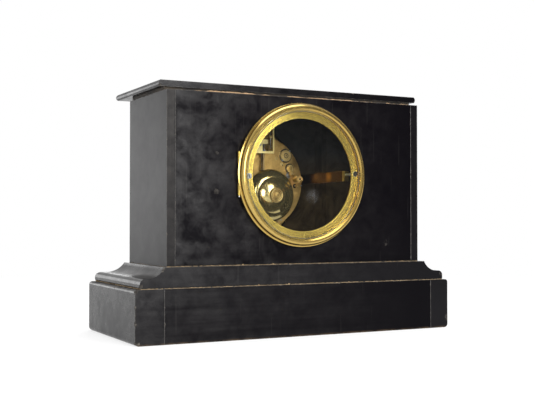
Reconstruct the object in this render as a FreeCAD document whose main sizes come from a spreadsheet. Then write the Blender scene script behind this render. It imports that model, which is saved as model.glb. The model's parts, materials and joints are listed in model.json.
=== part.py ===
import FreeCAD, Part
import math
import os
import re
import Sketcher
from FreeCAD import Placement, Rotation, Vector

# Black slate mantel clock, seen from its front: +X right, +Y to the back, +Z up, millimetres
# The origin is under the middle of the base

sizes = {
    # base box
    "base_width": 340, "base_depth": 140, "base_height": 49.6,
    "base_right_end": 27.6, "base_left_end": 21.4, "base_wall": 20,
    "base_top_round": 3, "base_foot_round": 4,
    # plinth moulding
    "mould_end_inset": 5, "mould_front_inset": 3, "mould_back_inset": 2,
    "cove_run": 15.5, "cove_drop": 10, "cove_radius": 17, "cove_flat": 2.5,
    "nose_round": 5, "nose_band": 2.5, "nose_undercut": 1, "undercut_height": 1.65,
    "mould_side_wall": 45, "mould_back_wall": 20, "mould_front_lap": 12.3,
    # upper case
    "case_ledge": 4.2, "case_height": 160.65, "case_back_inset": 7.6,
    "side_thick": 8.2, "back_thick": 13, "wing_thick": 10, "wing_setback": 27.4,
    "block_inset": 2.6, "block_half": 95, "block_thick": 12, "cheek_thick": 12,
    "dial_drop": 78.9, "opening_rise": 3.8, "opening_radius": 63, "dial_hole_radius": 62.8,
    "bed_height": 3.7, "bed_inset": 2, "slab_height": 5.9, "slab_over": 4.3,
    "slab_back_inset": 9.6, "slab_nose_radius": 3.4, "plaster_leg": 9, "plaster_stop": 12,
    # fixed rings behind the two doors
    "ring_bore": 54.3, "sleeve_wall": 2, "sleeve_gap": 0.5, "sleeve_depth": 5.4,
    "flange_radius": 67.5, "flange_thick": 1.5, "sleeve_proud": 4.5, "front_sleeve_depth": 11.7,
    "front_proud": 2.6, "dial_ledge": 2.7, "dial_sunk": 0.7, "ledge_thick": 1.2,
    # glazed doors
    "door_gap": 0.3, "door_radius": 69, "door_depth": 9.3, "front_door_depth": 8.3,
    "rim_width": 3.2, "rim_step": 1.1, "rim_wall": 4.4, "bead_radius": 65, "bead_width": 1.6,
    "lip_width": 2.4, "lip_drop": 2.2, "lip_thick": 0.9, "bezel_round": 4.6,
    "glass_thick": 2.2, "glass_gap": 0.3, "glass_bevel": 3, "glass_edge": 1.2,
    "retainer_thick": 1.2, "retainer_width": 2, "retainer_gap": 0.1,
    "hinge_reach": 67, "hinge_rise": 2.8, "knuckle_radius": 1.2, "hinge_pin_radius": 0.6,
    "hinge_length": 41, "door_knuckle": 19, "hinge_gap": 0.3, "hinge_web": 2, "hinge_leaf": 3.4,
    "pin_head": 1, "pin_head_height": 1.2, "running_gap": 0.08,
    # straps and ring screws
    "screw_circle": 58.3, "screw_offset": 2.15, "screw_radius": 1.4, "screw_head_radius": 2.6,
    "screw_head_height": 1.3, "strap_place": 55.6, "strap_thick": 1, "strap_width": 10.5,
    "strap_lift": 4.5, "strap_foot": 4.6, "strap_front_foot": 2.4, "screw_tail": 3.6,
    # dial and hands
    "dial_radius": 59.9, "dial_thick": 1.2, "dial_centre_hole": 2.9, "winding_hole": 3.9,
    "hand_thick": 0.6, "hour_hand": 30, "minute_hand": 44, "hand_width": 3.4, "hand_tip": 0.7,
    "hour_hand_rise": 1, "minute_hand_rise": 2.2, "moon_radius": 3.4, "moon_hole": 2.2,
    "hand_boss": 3.6, "hand_tail": 9, "collet_radius": 2.2, "collet_height": 0.7,
    # movement frame
    "plate_setback": 6.2, "plate_thick": 2.5, "plate_gap": 31.5, "plate_radius": 48.8,
    "pillar_radius": 3, "pillar_waist": 2.2, "pillar_tail_radius": 1.9, "pillar_tail": 3,
    "taper_pin_radius": 0.6, "taper_pin_length": 9,
    "lug_width": 8, "lug_thick": 1.5, "lug_length": 18, "lug_reach": 60,
    "shoulder_gap": 0.25, "pivot_radius": 0.6, "arbor_radius": 0.85,
    # barrels and winding
    "barrel_place": 20, "barrel_sink": 16, "barrel_radius": 17.2, "barrel_wall": 1,
    "barrel_cap": 1, "barrel_arbor": 3, "barrel_pivot": 1.6, "barrel_core": 5,
    "winding_square": 4, "square_short": 0.8, "ratchet_radius": 7, "ratchet_tooth": 0.9,
    "ratchet_thick": 1.4, "click_reach": 11, "click_clear": 0.35, "click_width": 2.4,
    "spring_leaf": 0.5, "spring_pitch": 1.35, "spring_margin": 0.9,
    # tooth modules of each pair
    "great_module": 0.62, "second_module": 0.45, "centre_module": 0.36, "third_module": 0.26,
    "pin_wheel_module": 0.24, "lock_module": 0.24, "warning_module": 0.22,
    "minute_module": 0.4, "hour_module": 0.384, "wheel_rim": 1.6,
    "spoke_width": 1.4, "wheel_hub": 2.2,
    # escapement and pendulum
    "escape_radius": 8.8, "escape_tooth": 1.6, "pallet_rise": 12.6, "pallet_clear": 0.75,
    "pallet_depth": 2.2, "pallet_hub": 2.1,
    "bracket_half": 10.5, "bracket_foot_half": 15, "bracket_low": 29.8, "bracket_top": 61.5,
    "bracket_foot_low": 33.5, "foot_thick": 2.4, "face_stand": 8.6, "face_thick": 2,
    "leg_width": 3, "leg_top": 46, "slot_half": 3.05, "slot_low": 31.9, "slot_top": 44,
    "block_height": 4.3, "block_slip": 0.15, "flex_height": 39.5, "flex_length": 6,
    "flex_thick": 0.3, "flex_width": 3.6, "chop_half": 1.7, "chop_height": 3,
    "pendulum_stand": 6.4, "rod_radius": 1.2, "bob_drop": 75.5, "bob_radius": 22,
    "bob_thick": 8, "bob_edge": 1.6, "rod_tail": 7, "rod_thread": 1, "nut_radius": 3.4,
    "nut_height": 3, "crutch_stand": 3.2, "crutch_thick": 1, "crutch_width": 2.4,
    "crutch_length": 35.5, "fork_width": 1, "fork_gap": 0.25, "fork_reach": 4.6,
    # bell and hammer
    "bell_left": 4.7, "bell_sink": 14, "bell_radius": 27.2, "bell_mouth": 13.5,
    "bell_waist_radius": 18.6, "bell_waist": 21, "bell_crown_radius": 8, "bell_crown": 26.2,
    "bell_dome": 30, "bell_flare": 12, "bell_wall": 1.3, "bell_bore": 2.1,
    "post_left": 16, "post_sink": 30.5, "post_radius": 1.5, "post_foot": 3.4, "post_foot_height": 1.2,
    "stand_arm_radius": 1.25, "stand_shoulder": 3, "stand_stud": 1.95, "bell_nut_radius": 7.7,
    "bell_nut_thick": 1.8, "bell_nut_boss": 3.2, "bell_nut_boss_height": 1.2,
    "hammer_left": 34.3, "hammer_rise": 15.3, "hammer_arbor": 1.1, "hammer_drop": 12.3,
    "hammer_radius": 3.2, "hammer_length": 11, "hammer_stand": 12.4, "hammer_rod": 0.75,
    "hammer_hub": 2.2, "hammer_hub_height": 2, "tail_length": 6, "tail_width": 1.2,
    "strike_pin_circle": 6.4, "strike_pin_radius": 0.35,
    "cock_radius": 6.2, "cock_thick": 1.5, "cock_place": 29.5, "cock_rise": 28.7,
    "cock_small_radius": 4, "cock_tip_radius": 1.6, "cock_tip_length": 6,
    # motion work, rack and lever
    "motion_low": 0.7, "motion_wheel": 1.2, "pipe_wall": 0.5, "cannon_radius": 1.78,
    "centre_radius": 1.2, "centre_end": 0.6, "hour_layer": 2.9, "hour_wheel_thick": 1, "snail_layer": 4.9,
    "snail_thick": 0.8, "snail_high": 9.2, "snail_low": 4.2, "lever_layer": 2.9, "lever_thick": 0.8,
    "rack_left": 27, "rack_rise": 20, "rack_tail": 24, "rack_arm": 24, "rack_band": 2.2,
    "rack_tooth": 0.7, "link_width": 1.8, "stud_radius": 0.9, "stud_head": 1.6,
    "lever_left": 38, "lever_sink": 14, "lever_end_left": 8.2, "lever_end_sink": 7.2,
    "overrun": 5,
}

# Tooth counts and angles in degrees (0 to the right, 90 up, seen from the front)
barrelTeeth, secondLeaves, secondTeeth, centreLeaves = 60, 10, 60, 10
centreTeeth, thirdLeaves, thirdTeeth, escapeLeaves, escapeTeeth = 72, 8, 72, 6, 42
pinWheelLeaves, pinWheelTeeth, strikePins = 8, 64, 8
lockLeaves, lockTeeth, warningLeaves, warningTeeth, flyLeaves = 8, 56, 7, 48, 6
cannonTeeth, minuteTeeth, minuteLeaves, hourTeeth = 12, 36, 10, 40
ratchetTeeth, snailSteps, rackTeeth = 20, 12, 12
thirdAngle, strikeSecondAngle, pinWheelAngle, warningAngle, minuteAngle = 95, 86, 115, 200, 50
minuteHandAngle, hourHandAngle = 60, 305
springTurns, springSteps = 6, 14

# Shapes of teeth, as shares of the module, and of the tooth pitch
wheelTipShare, wheelRootShare, wheelToothShare, wheelPointShare = 1.0, 1.3, 0.5, 0.14
leafTipShare, leafRootShare, leafWidthShare, leafPointShare = 0.7, 1.5, 0.4, 0.25
toothShares = (wheelTipShare, wheelRootShare, wheelToothShare, wheelPointShare)
leafShares = (leafTipShare, leafRootShare, leafWidthShare, leafPointShare)

# Where each wheel stands between the plates, as shares of the gap from the front plate
layerShares = {
    "barrel": (0.079, 0.683), "great_wheel": (0.683, 0.740),
    "second_pinion": (0.657, 0.775), "second_wheel": (0.819, 0.857),
    "centre_pinion": (0.787, 0.883), "centre_wheel": (0.914, 0.952),
    "third_pinion": (0.889, 0.971), "third_wheel": (0.476, 0.508),
    "escape_pinion": (0.444, 0.540), "escape_wheel": (0.711, 0.743), "anchor": (0.702, 0.752),
    "pin_wheel_pinion": (0.794, 0.883), "pin_wheel": (0.413, 0.451), "strike_pins": (0.451, 0.533),
    "hammer_tail": (0.467, 0.514), "lock_pinion": (0.387, 0.476), "lock_wheel": (0.270, 0.302),
    "warning_pinion": (0.248, 0.324), "warning_wheel": (0.143, 0.175),
    "fly_pinion": (0.117, 0.197), "fly_vanes": (0.552, 0.876),
}
# Pillar places, as shares of the plate radius
pillarShares = ((-0.902, -0.059), (0.902, -0.059), (-0.41, -0.81), (0.41, -0.81))

doc = FreeCAD.newDocument("MantelClock")
sheet = doc.addObject("Spreadsheet::Sheet", "Sizes")
for row, (alias, number) in enumerate(sizes.items(), start=1):
    sheet.set(f"A{row}", alias)
    sheet.set(f"B{row}", str(number))
    sheet.setAlias(f"B{row}", alias)
doc.recompute()

kept = []  # the clock's pieces, each written to its own file


def inSheet(text):
    return re.sub(r"[a-z][a-z0-9_]*", lambda w: f"Sizes.{w[0]}" if w[0] in sizes else w[0], text)


def value(text):
    got = sheet.evalExpression(inSheet(text))
    return float(getattr(got, "Value", got))


def bind(item, **places):
    for prop, text in places.items():
        item.setExpression(prop, inSheet(text))


def put(item, x="0", y="0", z="0"):
    for axis, text in zip("xyz", (x, y, z)):
        if text != "0":
            item.setExpression(f"Placement.Base.{axis}", inSheet(text))


def keep(item, label):
    item.Label = label
    kept.append(item)
    return item


def box(name, x, y, z):
    item = doc.addObject("Part::Box", name)
    bind(item, Length=f"({x[1]}) - ({x[0]})", Width=f"({y[1]}) - ({y[0]})", Height=f"({z[1]}) - ({z[0]})")
    put(item, x[0], y[0], z[0])
    return item


# A cylinder that runs to the back from its first end
def rod(name, radius, x, y, z):
    item = doc.addObject("Part::Cylinder", name)
    item.Placement = Placement(Vector(), Rotation(Vector(1, 0, 0), -90))
    bind(item, Radius=radius, Height=f"({y[1]}) - ({y[0]})")
    put(item, x, y[0], z)
    return item


def post(name, radius, x, y, z):
    item = doc.addObject("Part::Cylinder", name)
    bind(item, Radius=radius, Height=f"({z[1]}) - ({z[0]})")
    put(item, x, y, z[0])
    return item


def fuse(name, *items):
    item = doc.addObject("Part::MultiFuse", name)
    item.Shapes = list(items)
    return item


def cut(name, base, *tools):
    item = doc.addObject("Part::Cut", name)
    item.Base = base
    item.Tool = tools[0] if len(tools) == 1 else fuse(name + "_tools", *tools)
    return item


def common(name, first, second):
    item = doc.addObject("Part::Common", name)
    item.Base, item.Tool = first, second
    return item


# Several solids of one piece, side by side
def together(name, *items):
    item = doc.addObject("Part::Compound", name)
    item.Links = list(items)
    return item


# Solids that are made once the sheet is read, such as toothed wheels at their mesh
def solidOf(name, solids):
    item = doc.addObject("Part::Feature", name)
    item.Shape = solids[0] if len(solids) == 1 else Part.Compound(solids)
    return item


def made(label, solids):
    return keep(solidOf(label, solids), label)


# A closed outline. Each point is (x, y), or (x, y, radius, side) for an arc that ends there,
# where side is 1 when the arc bends to the left of its travel and -1 to the right
def outline(sketch, points):
    spots = [Vector(value(p[0]), value(p[1]), 0) for p in points]
    ends = []
    for i, p in enumerate(points):
        a, b = spots[i - 1], spots[i]
        if len(p) == 2:
            ends.append((sketch.addGeometry(Part.LineSegment(a, b)), 1, 2))
            continue
        radius, chord = value(p[2]), b - a
        across = Vector(-chord.y, chord.x, 0).normalize() * p[3]
        centre = (a + b) / 2 + across * math.sqrt(max(radius**2 - chord.Length**2 / 4, 0))
        first, last = (a, b) if p[3] > 0 else (b, a)
        turns = [math.atan2(v.y - centre.y, v.x - centre.x) for v in (first, last)]
        circle = Part.Circle(centre, Vector(0, 0, 1), radius)
        number = sketch.addGeometry(Part.ArcOfCircle(circle, *turns))
        ends.append((number, 1, 2) if p[3] > 0 else (number, 2, 1))
        named = sketch.addConstraint(Sketcher.Constraint("Radius", number, radius))
        sketch.setExpression(f"Constraints[{named}]", inSheet(p[2]))
    for i, (number, start, stop) in enumerate(ends):
        after, begin, _ = ends[(i + 1) % len(ends)]
        sketch.addConstraint(Sketcher.Constraint("Coincident", number, stop, after, begin))
        for kind, at, text, axis in (("DistanceX", spots[i].x, points[i][0], -2),
                                     ("DistanceY", spots[i].y, points[i][1], -1)):
            if at == 0:
                sketch.addConstraint(Sketcher.Constraint("PointOnObject", number, stop, axis))
                continue
            pair = (-1, 1, number, stop) if at > 0 else (number, stop, -1, 1)
            named = sketch.addConstraint(Sketcher.Constraint(kind, *pair, abs(at)))
            sketch.setExpression(f"Constraints[{named}]", inSheet(text if at > 0 else f"-({text})"))


# A solid turned about an axis that runs front to back. Points are (radius, distance to the back)
def turned(name, points, x="0", y="0", z="0"):
    body = doc.addObject("PartDesign::Body", name)
    sketch = body.newObject("Sketcher::SketchObject", name + "_section")
    plane = [o for o in body.Origin.OriginFeatures if o.Role == "XY_Plane"][0]
    sketch.AttachmentSupport = [(plane, "")]
    sketch.MapMode = "FlatFace"
    outline(sketch, points)
    spun = body.newObject("PartDesign::Revolution", name + "_turn")
    spun.Profile = sketch
    spun.ReferenceAxis = (sketch, ["V_Axis"])
    spun.Angle = 360
    sketch.Visibility = False
    body.Tip = spun
    put(body, x, y, z)
    return body


# A section drawn on an upright plane and drawn out the same way to both sides of it
def drawn(name, points, length, along, middle="0"):
    sketch = doc.addObject("Sketcher::SketchObject", name + "_section")
    upright = Rotation(Vector(1, 0, 0), 90) if along == "y" else Rotation(Vector(1, 1, 1), 120)
    sketch.Placement = Placement(Vector(), upright)
    outline(sketch, points)
    put(sketch, **{along: middle})
    item = doc.addObject("Part::Extrusion", name)
    item.Base = sketch
    item.DirMode = "Normal"
    item.Solid = True
    item.Symmetric = True
    bind(item, LengthFwd=length)
    return item


# Heights and depths that several pieces share
baseFront, baseBack = "-base_depth / 2", "base_depth / 2"
mouldHeight = "(cove_drop + nose_round + nose_band + undercut_height)"
caseFloor = f"(base_height + {mouldHeight})"
caseTop = f"({caseFloor} + case_height)"
noseHalf = "(base_width / 2 - mould_end_inset)"
profileRun = "(cove_run + cove_flat + nose_round)"
caseHalf = f"({noseHalf} - {profileRun} - case_ledge)"
innerHalf = f"({caseHalf} - side_thick)"
caseBack = "(base_depth / 2 - case_back_inset)"
blockFront = "(block_inset - base_depth / 2)"
wingFront = f"({blockFront} + wing_setback)"
axisHeight = f"({caseTop} - dial_drop)"
openingHeight = f"({axisHeight} + opening_rise)"
frontPlate = f"({blockFront} + plate_setback)"
backPlate = f"({frontPlate} + 2 * plate_thick + plate_gap)"
overrun = "overrun"

# Base: one rounded block, parted into the four slabs that it is made of
half, tall = "base_width / 2", "base_height"
baseEnds = drawn("base_ends", [
    (f"{half} - base_foot_round", "0"), (half, "base_foot_round", "base_foot_round", 1),
    (half, f"{tall} - base_top_round"),
    (f"{half} - base_top_round", tall, "base_top_round", 1),
    (f"base_top_round - {half}", tall),
    (f"-{half}", f"{tall} - base_top_round", "base_top_round", 1),
    (f"-{half}", "base_foot_round"),
    (f"base_foot_round - {half}", "0", "base_foot_round", 1),
], "base_depth", "y")
baseSides = drawn("base_sides", [
    (baseBack, "0"), (baseBack, tall), (f"{baseFront} + base_top_round", tall),
    (baseFront, f"{tall} - base_top_round", "base_top_round", 1),
    (baseFront, "base_foot_round"),
    (f"{baseFront} + base_foot_round", "0", "base_foot_round", 1),
], "base_width", "x")
baseBlock = common("base_block", baseEnds, baseSides)
rightCut, leftCut = f"{half} - base_right_end", f"base_left_end - {half}"
fullDepth, fullHeight = (baseFront, baseBack), ("0", tall)
between = (leftCut, rightCut)


def baseSlab(label, x, y):
    return common(label, baseBlock, box(label + "_span", x, y, fullHeight))


keep(together("base_end_slabs", baseSlab("base_right_end", (rightCut, half), fullDepth),
              baseSlab("base_left_end", (f"-{half}", leftCut), fullDepth)), "base_end_slabs")
keep(baseSlab("base_front_slab", between, (baseFront, f"{baseFront} + base_wall")), "base_front_slab")
keep(baseSlab("base_back_slab", between, (f"{baseBack} - base_wall", baseBack)), "base_back_slab")


# Plinth moulding: cove, flat and round on both ends and the front, plain at the back. Its section
# is drawn from its own underside, and the finished slab is set on the base
def mouldSide(edge, way):
    out = lambda run: f"{edge} {'-' if way > 0 else '+'} ({profileRun} - ({run}))"
    down = lambda drop: f"{mouldHeight} - ({drop})"
    return [
        (out("0"), down("0")),
        (out("cove_run"), down("cove_drop"), "cove_radius", way),
        (out("cove_run + cove_flat"), down("cove_drop")),
        (out(profileRun), down("cove_drop + nose_round"), "nose_round", -way),
        (out(profileRun), down("cove_drop + nose_round + nose_band")),
        (out(f"{profileRun} - nose_undercut"), "0"),
    ]


def mirrored(points):
    back = [(f"-({p[0]})",) + p[1:2] for p in points]
    turns = [p[2:] for p in points]
    return [back[i] + (turns[i + 1] if i + 1 < len(points) else ()) for i in range(len(points))][::-1]


rightSide = mouldSide(noseHalf, 1)
mouldEnds = drawn("mould_ends", mirrored(rightSide) + rightSide,
                  "base_depth - mould_front_inset - mould_back_inset", "y",
                  "(mould_front_inset - mould_back_inset) / 2")
mouldFront = "(mould_front_inset - base_depth / 2)"
mouldBack = "(base_depth / 2 - mould_back_inset)"
frontSide = mouldSide(mouldFront, -1)
mouldDepth = drawn("mould_depth", frontSide + [(mouldBack, "0"), (mouldBack, mouldHeight)],
                   "base_width", "x")
mouldTall = (f"-{overrun}", f"{mouldHeight} + {overrun}")
mouldHalf = f"({noseHalf} - mould_side_wall)"
mouldWell = box("mould_well", (f"-{mouldHalf}", mouldHalf),
                (f"{wingFront} + mould_front_lap", f"{mouldBack} - mould_back_wall"), mouldTall)
mouldNotch = box("mould_notch", ("-block_half", "block_half"),
                 (f"{mouldFront} - {overrun}", wingFront), mouldTall)
moulding = cut("plinth_moulding", common("mould_block", mouldEnds, mouldDepth), mouldWell, mouldNotch)
put(moulding, z="base_height")
keep(moulding, "plinth_moulding")

# Upper case: two sides, the back with its round opening, the wings and the dial block
upper, lower = (caseFloor, caseTop), ("base_height", caseTop)
sideDepth = (wingFront, caseBack)
keep(box("case_right_side", (innerHalf, caseHalf), sideDepth, upper), "case_right_side")
keep(box("case_left_side", (f"-{caseHalf}", f"-{innerHalf}"), sideDepth, upper), "case_left_side")
backDepth = (f"{caseBack} - back_thick", caseBack)
backHole = rod("opening", "opening_radius", "0", (f"{backDepth[0]} - {overrun}", f"{caseBack} + {overrun}"),
               openingHeight)
keep(cut("case_back", box("back_slab", (f"-{innerHalf}", innerHalf), backDepth, upper), backHole),
     "case_back")
wingDepth = (wingFront, f"{wingFront} + wing_thick")
wingInner = "block_half - cheek_thick"
keep(together("wing_fronts", box("right_wing", (wingInner, innerHalf), wingDepth, upper),
              box("left_wing", (f"-{innerHalf}", f"-({wingInner})"), wingDepth, upper)), "wing_fronts")
blockDepth = (blockFront, f"{blockFront} + block_thick")
dialHole = rod("dial_opening", "dial_hole_radius", "0",
               (f"{blockFront} - {overrun}", f"{blockDepth[1]} + {overrun}"), axisHeight)
keep(cut("dial_block_front", box("block_slab", ("-block_half", "block_half"), blockDepth, lower), dialHole),
     "dial_block_front")
cheekDepth = (blockDepth[1], wingFront)
keep(together("dial_block_cheeks", box("right_cheek", (wingInner, "block_half"), cheekDepth, lower),
              box("left_cheek", ("-block_half", f"-({wingInner})"), cheekDepth, lower)), "dial_block_cheeks")

# Plaster run into the four inner corners
fillets = []
legs, edge = value("plaster_leg"), value(innerHalf)
low, high = value(f"{caseFloor} + plaster_stop"), value(f"{caseTop} - plaster_stop")
for sign in (1, -1):
    for y, way in ((value(backDepth[0]), -1), (value(wingDepth[1]), 1)):
        corner = Vector(sign * edge, y, low)
        ring = [corner, corner + Vector(-sign * legs, 0, 0), corner + Vector(0, way * legs, 0), corner]
        fillets.append(Part.Face(Part.makePolygon(ring)).extrude(Vector(0, 0, high - low)))
made("plaster_fillets", fillets)

# Cornice bed and the round-nosed top slab
bedTop, slabTop = f"({caseTop} + bed_height)", f"({caseTop} + bed_height + slab_height)"
slabBack = f"({caseBack} - slab_back_inset)"
bedHalf = f"({caseHalf} - bed_inset)"
keep(fuse("cornice_bed",
          box("bed_main", (f"-{bedHalf}", bedHalf), (f"{wingFront} + bed_inset", f"{slabBack} - bed_inset"),
              (caseTop, bedTop)),
          box("bed_block", ("bed_inset - block_half", "block_half - bed_inset"),
              (f"{blockFront} + bed_inset", f"{wingFront} + bed_inset"), (caseTop, bedTop))),
     "cornice_bed")
slabHalf, slabFront = f"({caseHalf} + slab_over)", f"({blockFront} - slab_over)"
nose = "slab_nose_radius"
noseRun = "(slab_nose_radius - sqrt(slab_nose_radius ^ 2 - slab_height ^ 2 / 4))"
slabEnds = drawn("slab_ends", [
    (f"{slabHalf} - {noseRun}", slabTop, nose, 1),
    (f"{noseRun} - {slabHalf}", slabTop),
    (f"{noseRun} - {slabHalf}", bedTop, nose, 1),
    (f"{slabHalf} - {noseRun}", bedTop),
], f"{slabBack} - {slabFront}", "y", f"({slabBack} + {slabFront}) / 2")
slabSides = drawn("slab_sides", [
    (f"{slabFront} + {noseRun}", bedTop, nose, 1),
    (slabBack, bedTop), (slabBack, slabTop), (f"{slabFront} + {noseRun}", slabTop),
], f"2 * {slabHalf}", "x")
keep(common("top_slab", slabEnds, slabSides), "top_slab")


# Hinge parts: knuckles about an upright pin, joined to the ring or rim beside them
def knuckles(name, way, y, z, spans, web):
    out = []
    for i, (low, high) in enumerate(spans):
        span = (f"{z} + ({low})", f"{z} + ({high})")
        x = f"{way} * hinge_reach"
        out.append(post(f"{name}_knuckle{i}", "knuckle_radius", x, y, span))
        across = sorted((f"{way} * (hinge_reach - hinge_web)", f"{way} * hinge_reach"), key=value)
        if web == "side":
            deep = (f"{y} - knuckle_radius * 0.8", f"{y} + knuckle_radius * 0.8")
        else:
            across = sorted((f"{way} * (flange_radius - hinge_leaf)",
                             f"{way} * (hinge_reach + knuckle_radius / 3)"), key=value)
            foot = f"{y} - {way} * hinge_rise"
            deep = tuple(sorted((foot, f"{foot} + {way} * flange_thick"), key=value))
            upright = tuple(sorted((foot, y), key=value))
            narrow = sorted((f"{way} * (hinge_reach - knuckle_radius / 3)",
                             f"{way} * (hinge_reach + knuckle_radius / 3)"), key=value)
            out.append(box(f"{name}_stem{i}", narrow, upright, span))
        out.append(box(f"{name}_web{i}", across, deep, span))
    return out


def pinBore(name, way, y, z):
    return post(name, "hinge_pin_radius + running_gap", f"{way} * hinge_reach", y,
                (f"{z} - hinge_length", f"{z} + hinge_length"))


outerSpans = (("-hinge_length / 2", "-door_knuckle / 2 - hinge_gap"),
              ("door_knuckle / 2 + hinge_gap", "hinge_length / 2"))
innerSpans = (("-door_knuckle / 2", "door_knuckle / 2"),)


def hingePin(label, way, y, z):
    pin = post(label + "_shank", "hinge_pin_radius", f"{way} * hinge_reach", y,
               (f"{z} - hinge_length / 2 - pin_head_height", f"{z} + hinge_length / 2"))
    headTop = f"{z} - hinge_length / 2 - hinge_gap"
    head = post(label + "_head", "pin_head", f"{way} * hinge_reach", y,
                (f"{headTop} - pin_head_height", headTop))
    return fuse(label, pin, head)


# Rear fixed ring: sleeve in the opening, flange on the slate, inward flange with two screw holes
sleeveOut = "(opening_radius - sleeve_gap)"
sleeveIn = "(opening_radius - sleeve_gap - sleeve_wall)"
rearRing = turned("rear_ring_turned", [
    (sleeveOut, "-sleeve_depth"), (sleeveOut, "0"), ("flange_radius", "0"),
    ("flange_radius", "flange_thick"), (sleeveOut, "flange_thick"), (sleeveOut, "sleeve_proud"),
    ("ring_bore", "sleeve_proud"), ("ring_bore", "sleeve_proud - flange_thick"),
    (sleeveIn, "sleeve_proud - flange_thick"), (sleeveIn, "-sleeve_depth"),
], "0", caseBack, openingHeight)
rearHinge = f"({caseBack} + hinge_rise)"
flangeFace = f"({caseBack} + sleeve_proud)"
screwSpots = (("screw_circle", f"{openingHeight} - screw_offset"),
              ("-screw_circle", f"{openingHeight} + screw_offset"))
screwHoles = [rod(f"flange_hole{i}", "screw_radius + running_gap", x,
                  (f"{caseBack} - {overrun}", f"{flangeFace} + {overrun}"), z)
              for i, (x, z) in enumerate(screwSpots)]
keep(cut("rear_ring", fuse("rear_ring_whole", rearRing,
                           *knuckles("rear_ring", 1, rearHinge, openingHeight, outerSpans, "foot")),
         pinBore("rear_ring_bore", 1, rearHinge, openingHeight), *screwHoles), "rear_ring")
rearPin = hingePin("rear_hinge_pin", 1, rearHinge, openingHeight)

# Front fixed ring: the same, with a ledge that the dial sits on
frontSleeve = "(dial_hole_radius - sleeve_gap)"
frontBore = "(dial_hole_radius - sleeve_gap - sleeve_wall)"
frontRing = turned("front_ring_turned", [
    (frontBore, "front_sleeve_depth"), (frontBore, "dial_sunk * -1 + ledge_thick"),
    (f"{frontBore} - dial_ledge", "ledge_thick - dial_sunk"), (f"{frontBore} - dial_ledge", "-dial_sunk"),
    (frontBore, "-dial_sunk"), (frontBore, "-front_proud"), (frontSleeve, "-front_proud"),
    (frontSleeve, "-flange_thick"), ("flange_radius", "-flange_thick"), ("flange_radius", "0"),
    (frontSleeve, "0"), (frontSleeve, "front_sleeve_depth"),
], "0", blockFront, axisHeight)
frontHinge = f"({blockFront} - hinge_rise)"
keep(cut("front_ring", fuse("front_ring_whole", frontRing,
                            *knuckles("front_ring", -1, frontHinge, axisHeight, outerSpans, "foot")),
         pinBore("front_ring_bore", -1, frontHinge, axisHeight)), "front_ring")
frontPin = hingePin("front_hinge_pin", -1, frontHinge, axisHeight)


# Door bezel: rim, stepped wall, round bead and a thin lip over the glass, with a notch that the
# hinge lies in. way is 1 to the back
def bezel(label, way, y, z, depth):
    face = lambda text: f"{way} * ({text})"
    seat = "(door_radius - rim_wall)"
    lip = f"({seat} - lip_width)"
    bead = "(bead_radius - bead_width)"
    start = "flange_thick + door_gap"
    front = f"({start} + {depth})"
    ring = turned(label + "_turned", [
        (seat, face(start)), ("door_radius", face(start)), ("door_radius", face(f"{start} + rim_width")),
        ("door_radius - rim_step", face(f"{start} + rim_width + rim_step / 2")),
        ("door_radius - rim_step", face(f"{front} - bezel_round * 0.72")),
        ("bead_radius", face(front), "bezel_round", way),
        (bead, face(front)), (lip, face(f"{front} - lip_drop + lip_thick")),
        (lip, face(f"{front} - lip_drop")), (seat, face(f"{front} - lip_drop")),
    ], "0", y, z)
    hinge = f"({y} + {way} * hinge_rise)"
    room = "(knuckle_radius + hinge_gap)"
    long = "(hinge_length / 2 + 2 * hinge_gap + pin_head_height)"
    notch = box(label + "_notch",
                sorted((f"{way} * (hinge_reach - {room})", f"{way} * (door_radius + {overrun})"), key=value),
                sorted((f"{y} - {way} * {overrun}", f"{hinge} + {way} * {room}"), key=value),
                (f"{z} - {long}", f"{z} + {long}"))
    whole = fuse(label + "_whole", cut(label + "_ring", ring, notch),
                 *knuckles(label, way, hinge, z, innerSpans, "side"))
    keep(cut(label, whole, pinBore(label + "_bore", way, hinge, z)), label)
    return front


# Bevelled glass against the lip, and the ring that holds it there
def glazing(label, retainer, way, y, z, front):
    face = lambda text: f"{way} * ({text})"
    edge = "(door_radius - rim_wall - glass_gap)"
    outer = f"({front} - lip_drop - glass_gap / 3)"
    keep(turned(label, [
        ("0", face(f"{outer} - glass_thick")), (edge, face(f"{outer} - glass_thick")),
        (edge, face(f"{outer} - glass_thick + glass_edge")), (f"{edge} - glass_bevel", face(outer)),
        ("0", face(outer)),
    ], "0", y, z), label)
    back = f"({outer} - glass_thick - retainer_gap)"
    ringOut = "(door_radius - rim_wall - retainer_gap)"
    keep(turned(retainer, [
        (f"{ringOut} - retainer_width", face(f"{back} - retainer_thick * 0.4")),
        (f"{ringOut} - retainer_width", face(back)), (ringOut, face(back)),
        (ringOut, face(f"{back} - retainer_thick")),
        (f"{ringOut} - retainer_width * 0.6", face(f"{back} - retainer_thick")),
    ], "0", y, z), retainer)


rearFront = bezel("rear_door_bezel", 1, caseBack, openingHeight, "door_depth")
glazing("rear_door_glass", "rear_glass_retainer", 1, caseBack, openingHeight, rearFront)
frontFront = bezel("front_door_bezel", -1, blockFront, axisHeight, "front_door_depth")
glazing("front_door_glass", "front_glass_retainer", -1, blockFront, axisHeight, frontFront)

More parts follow.
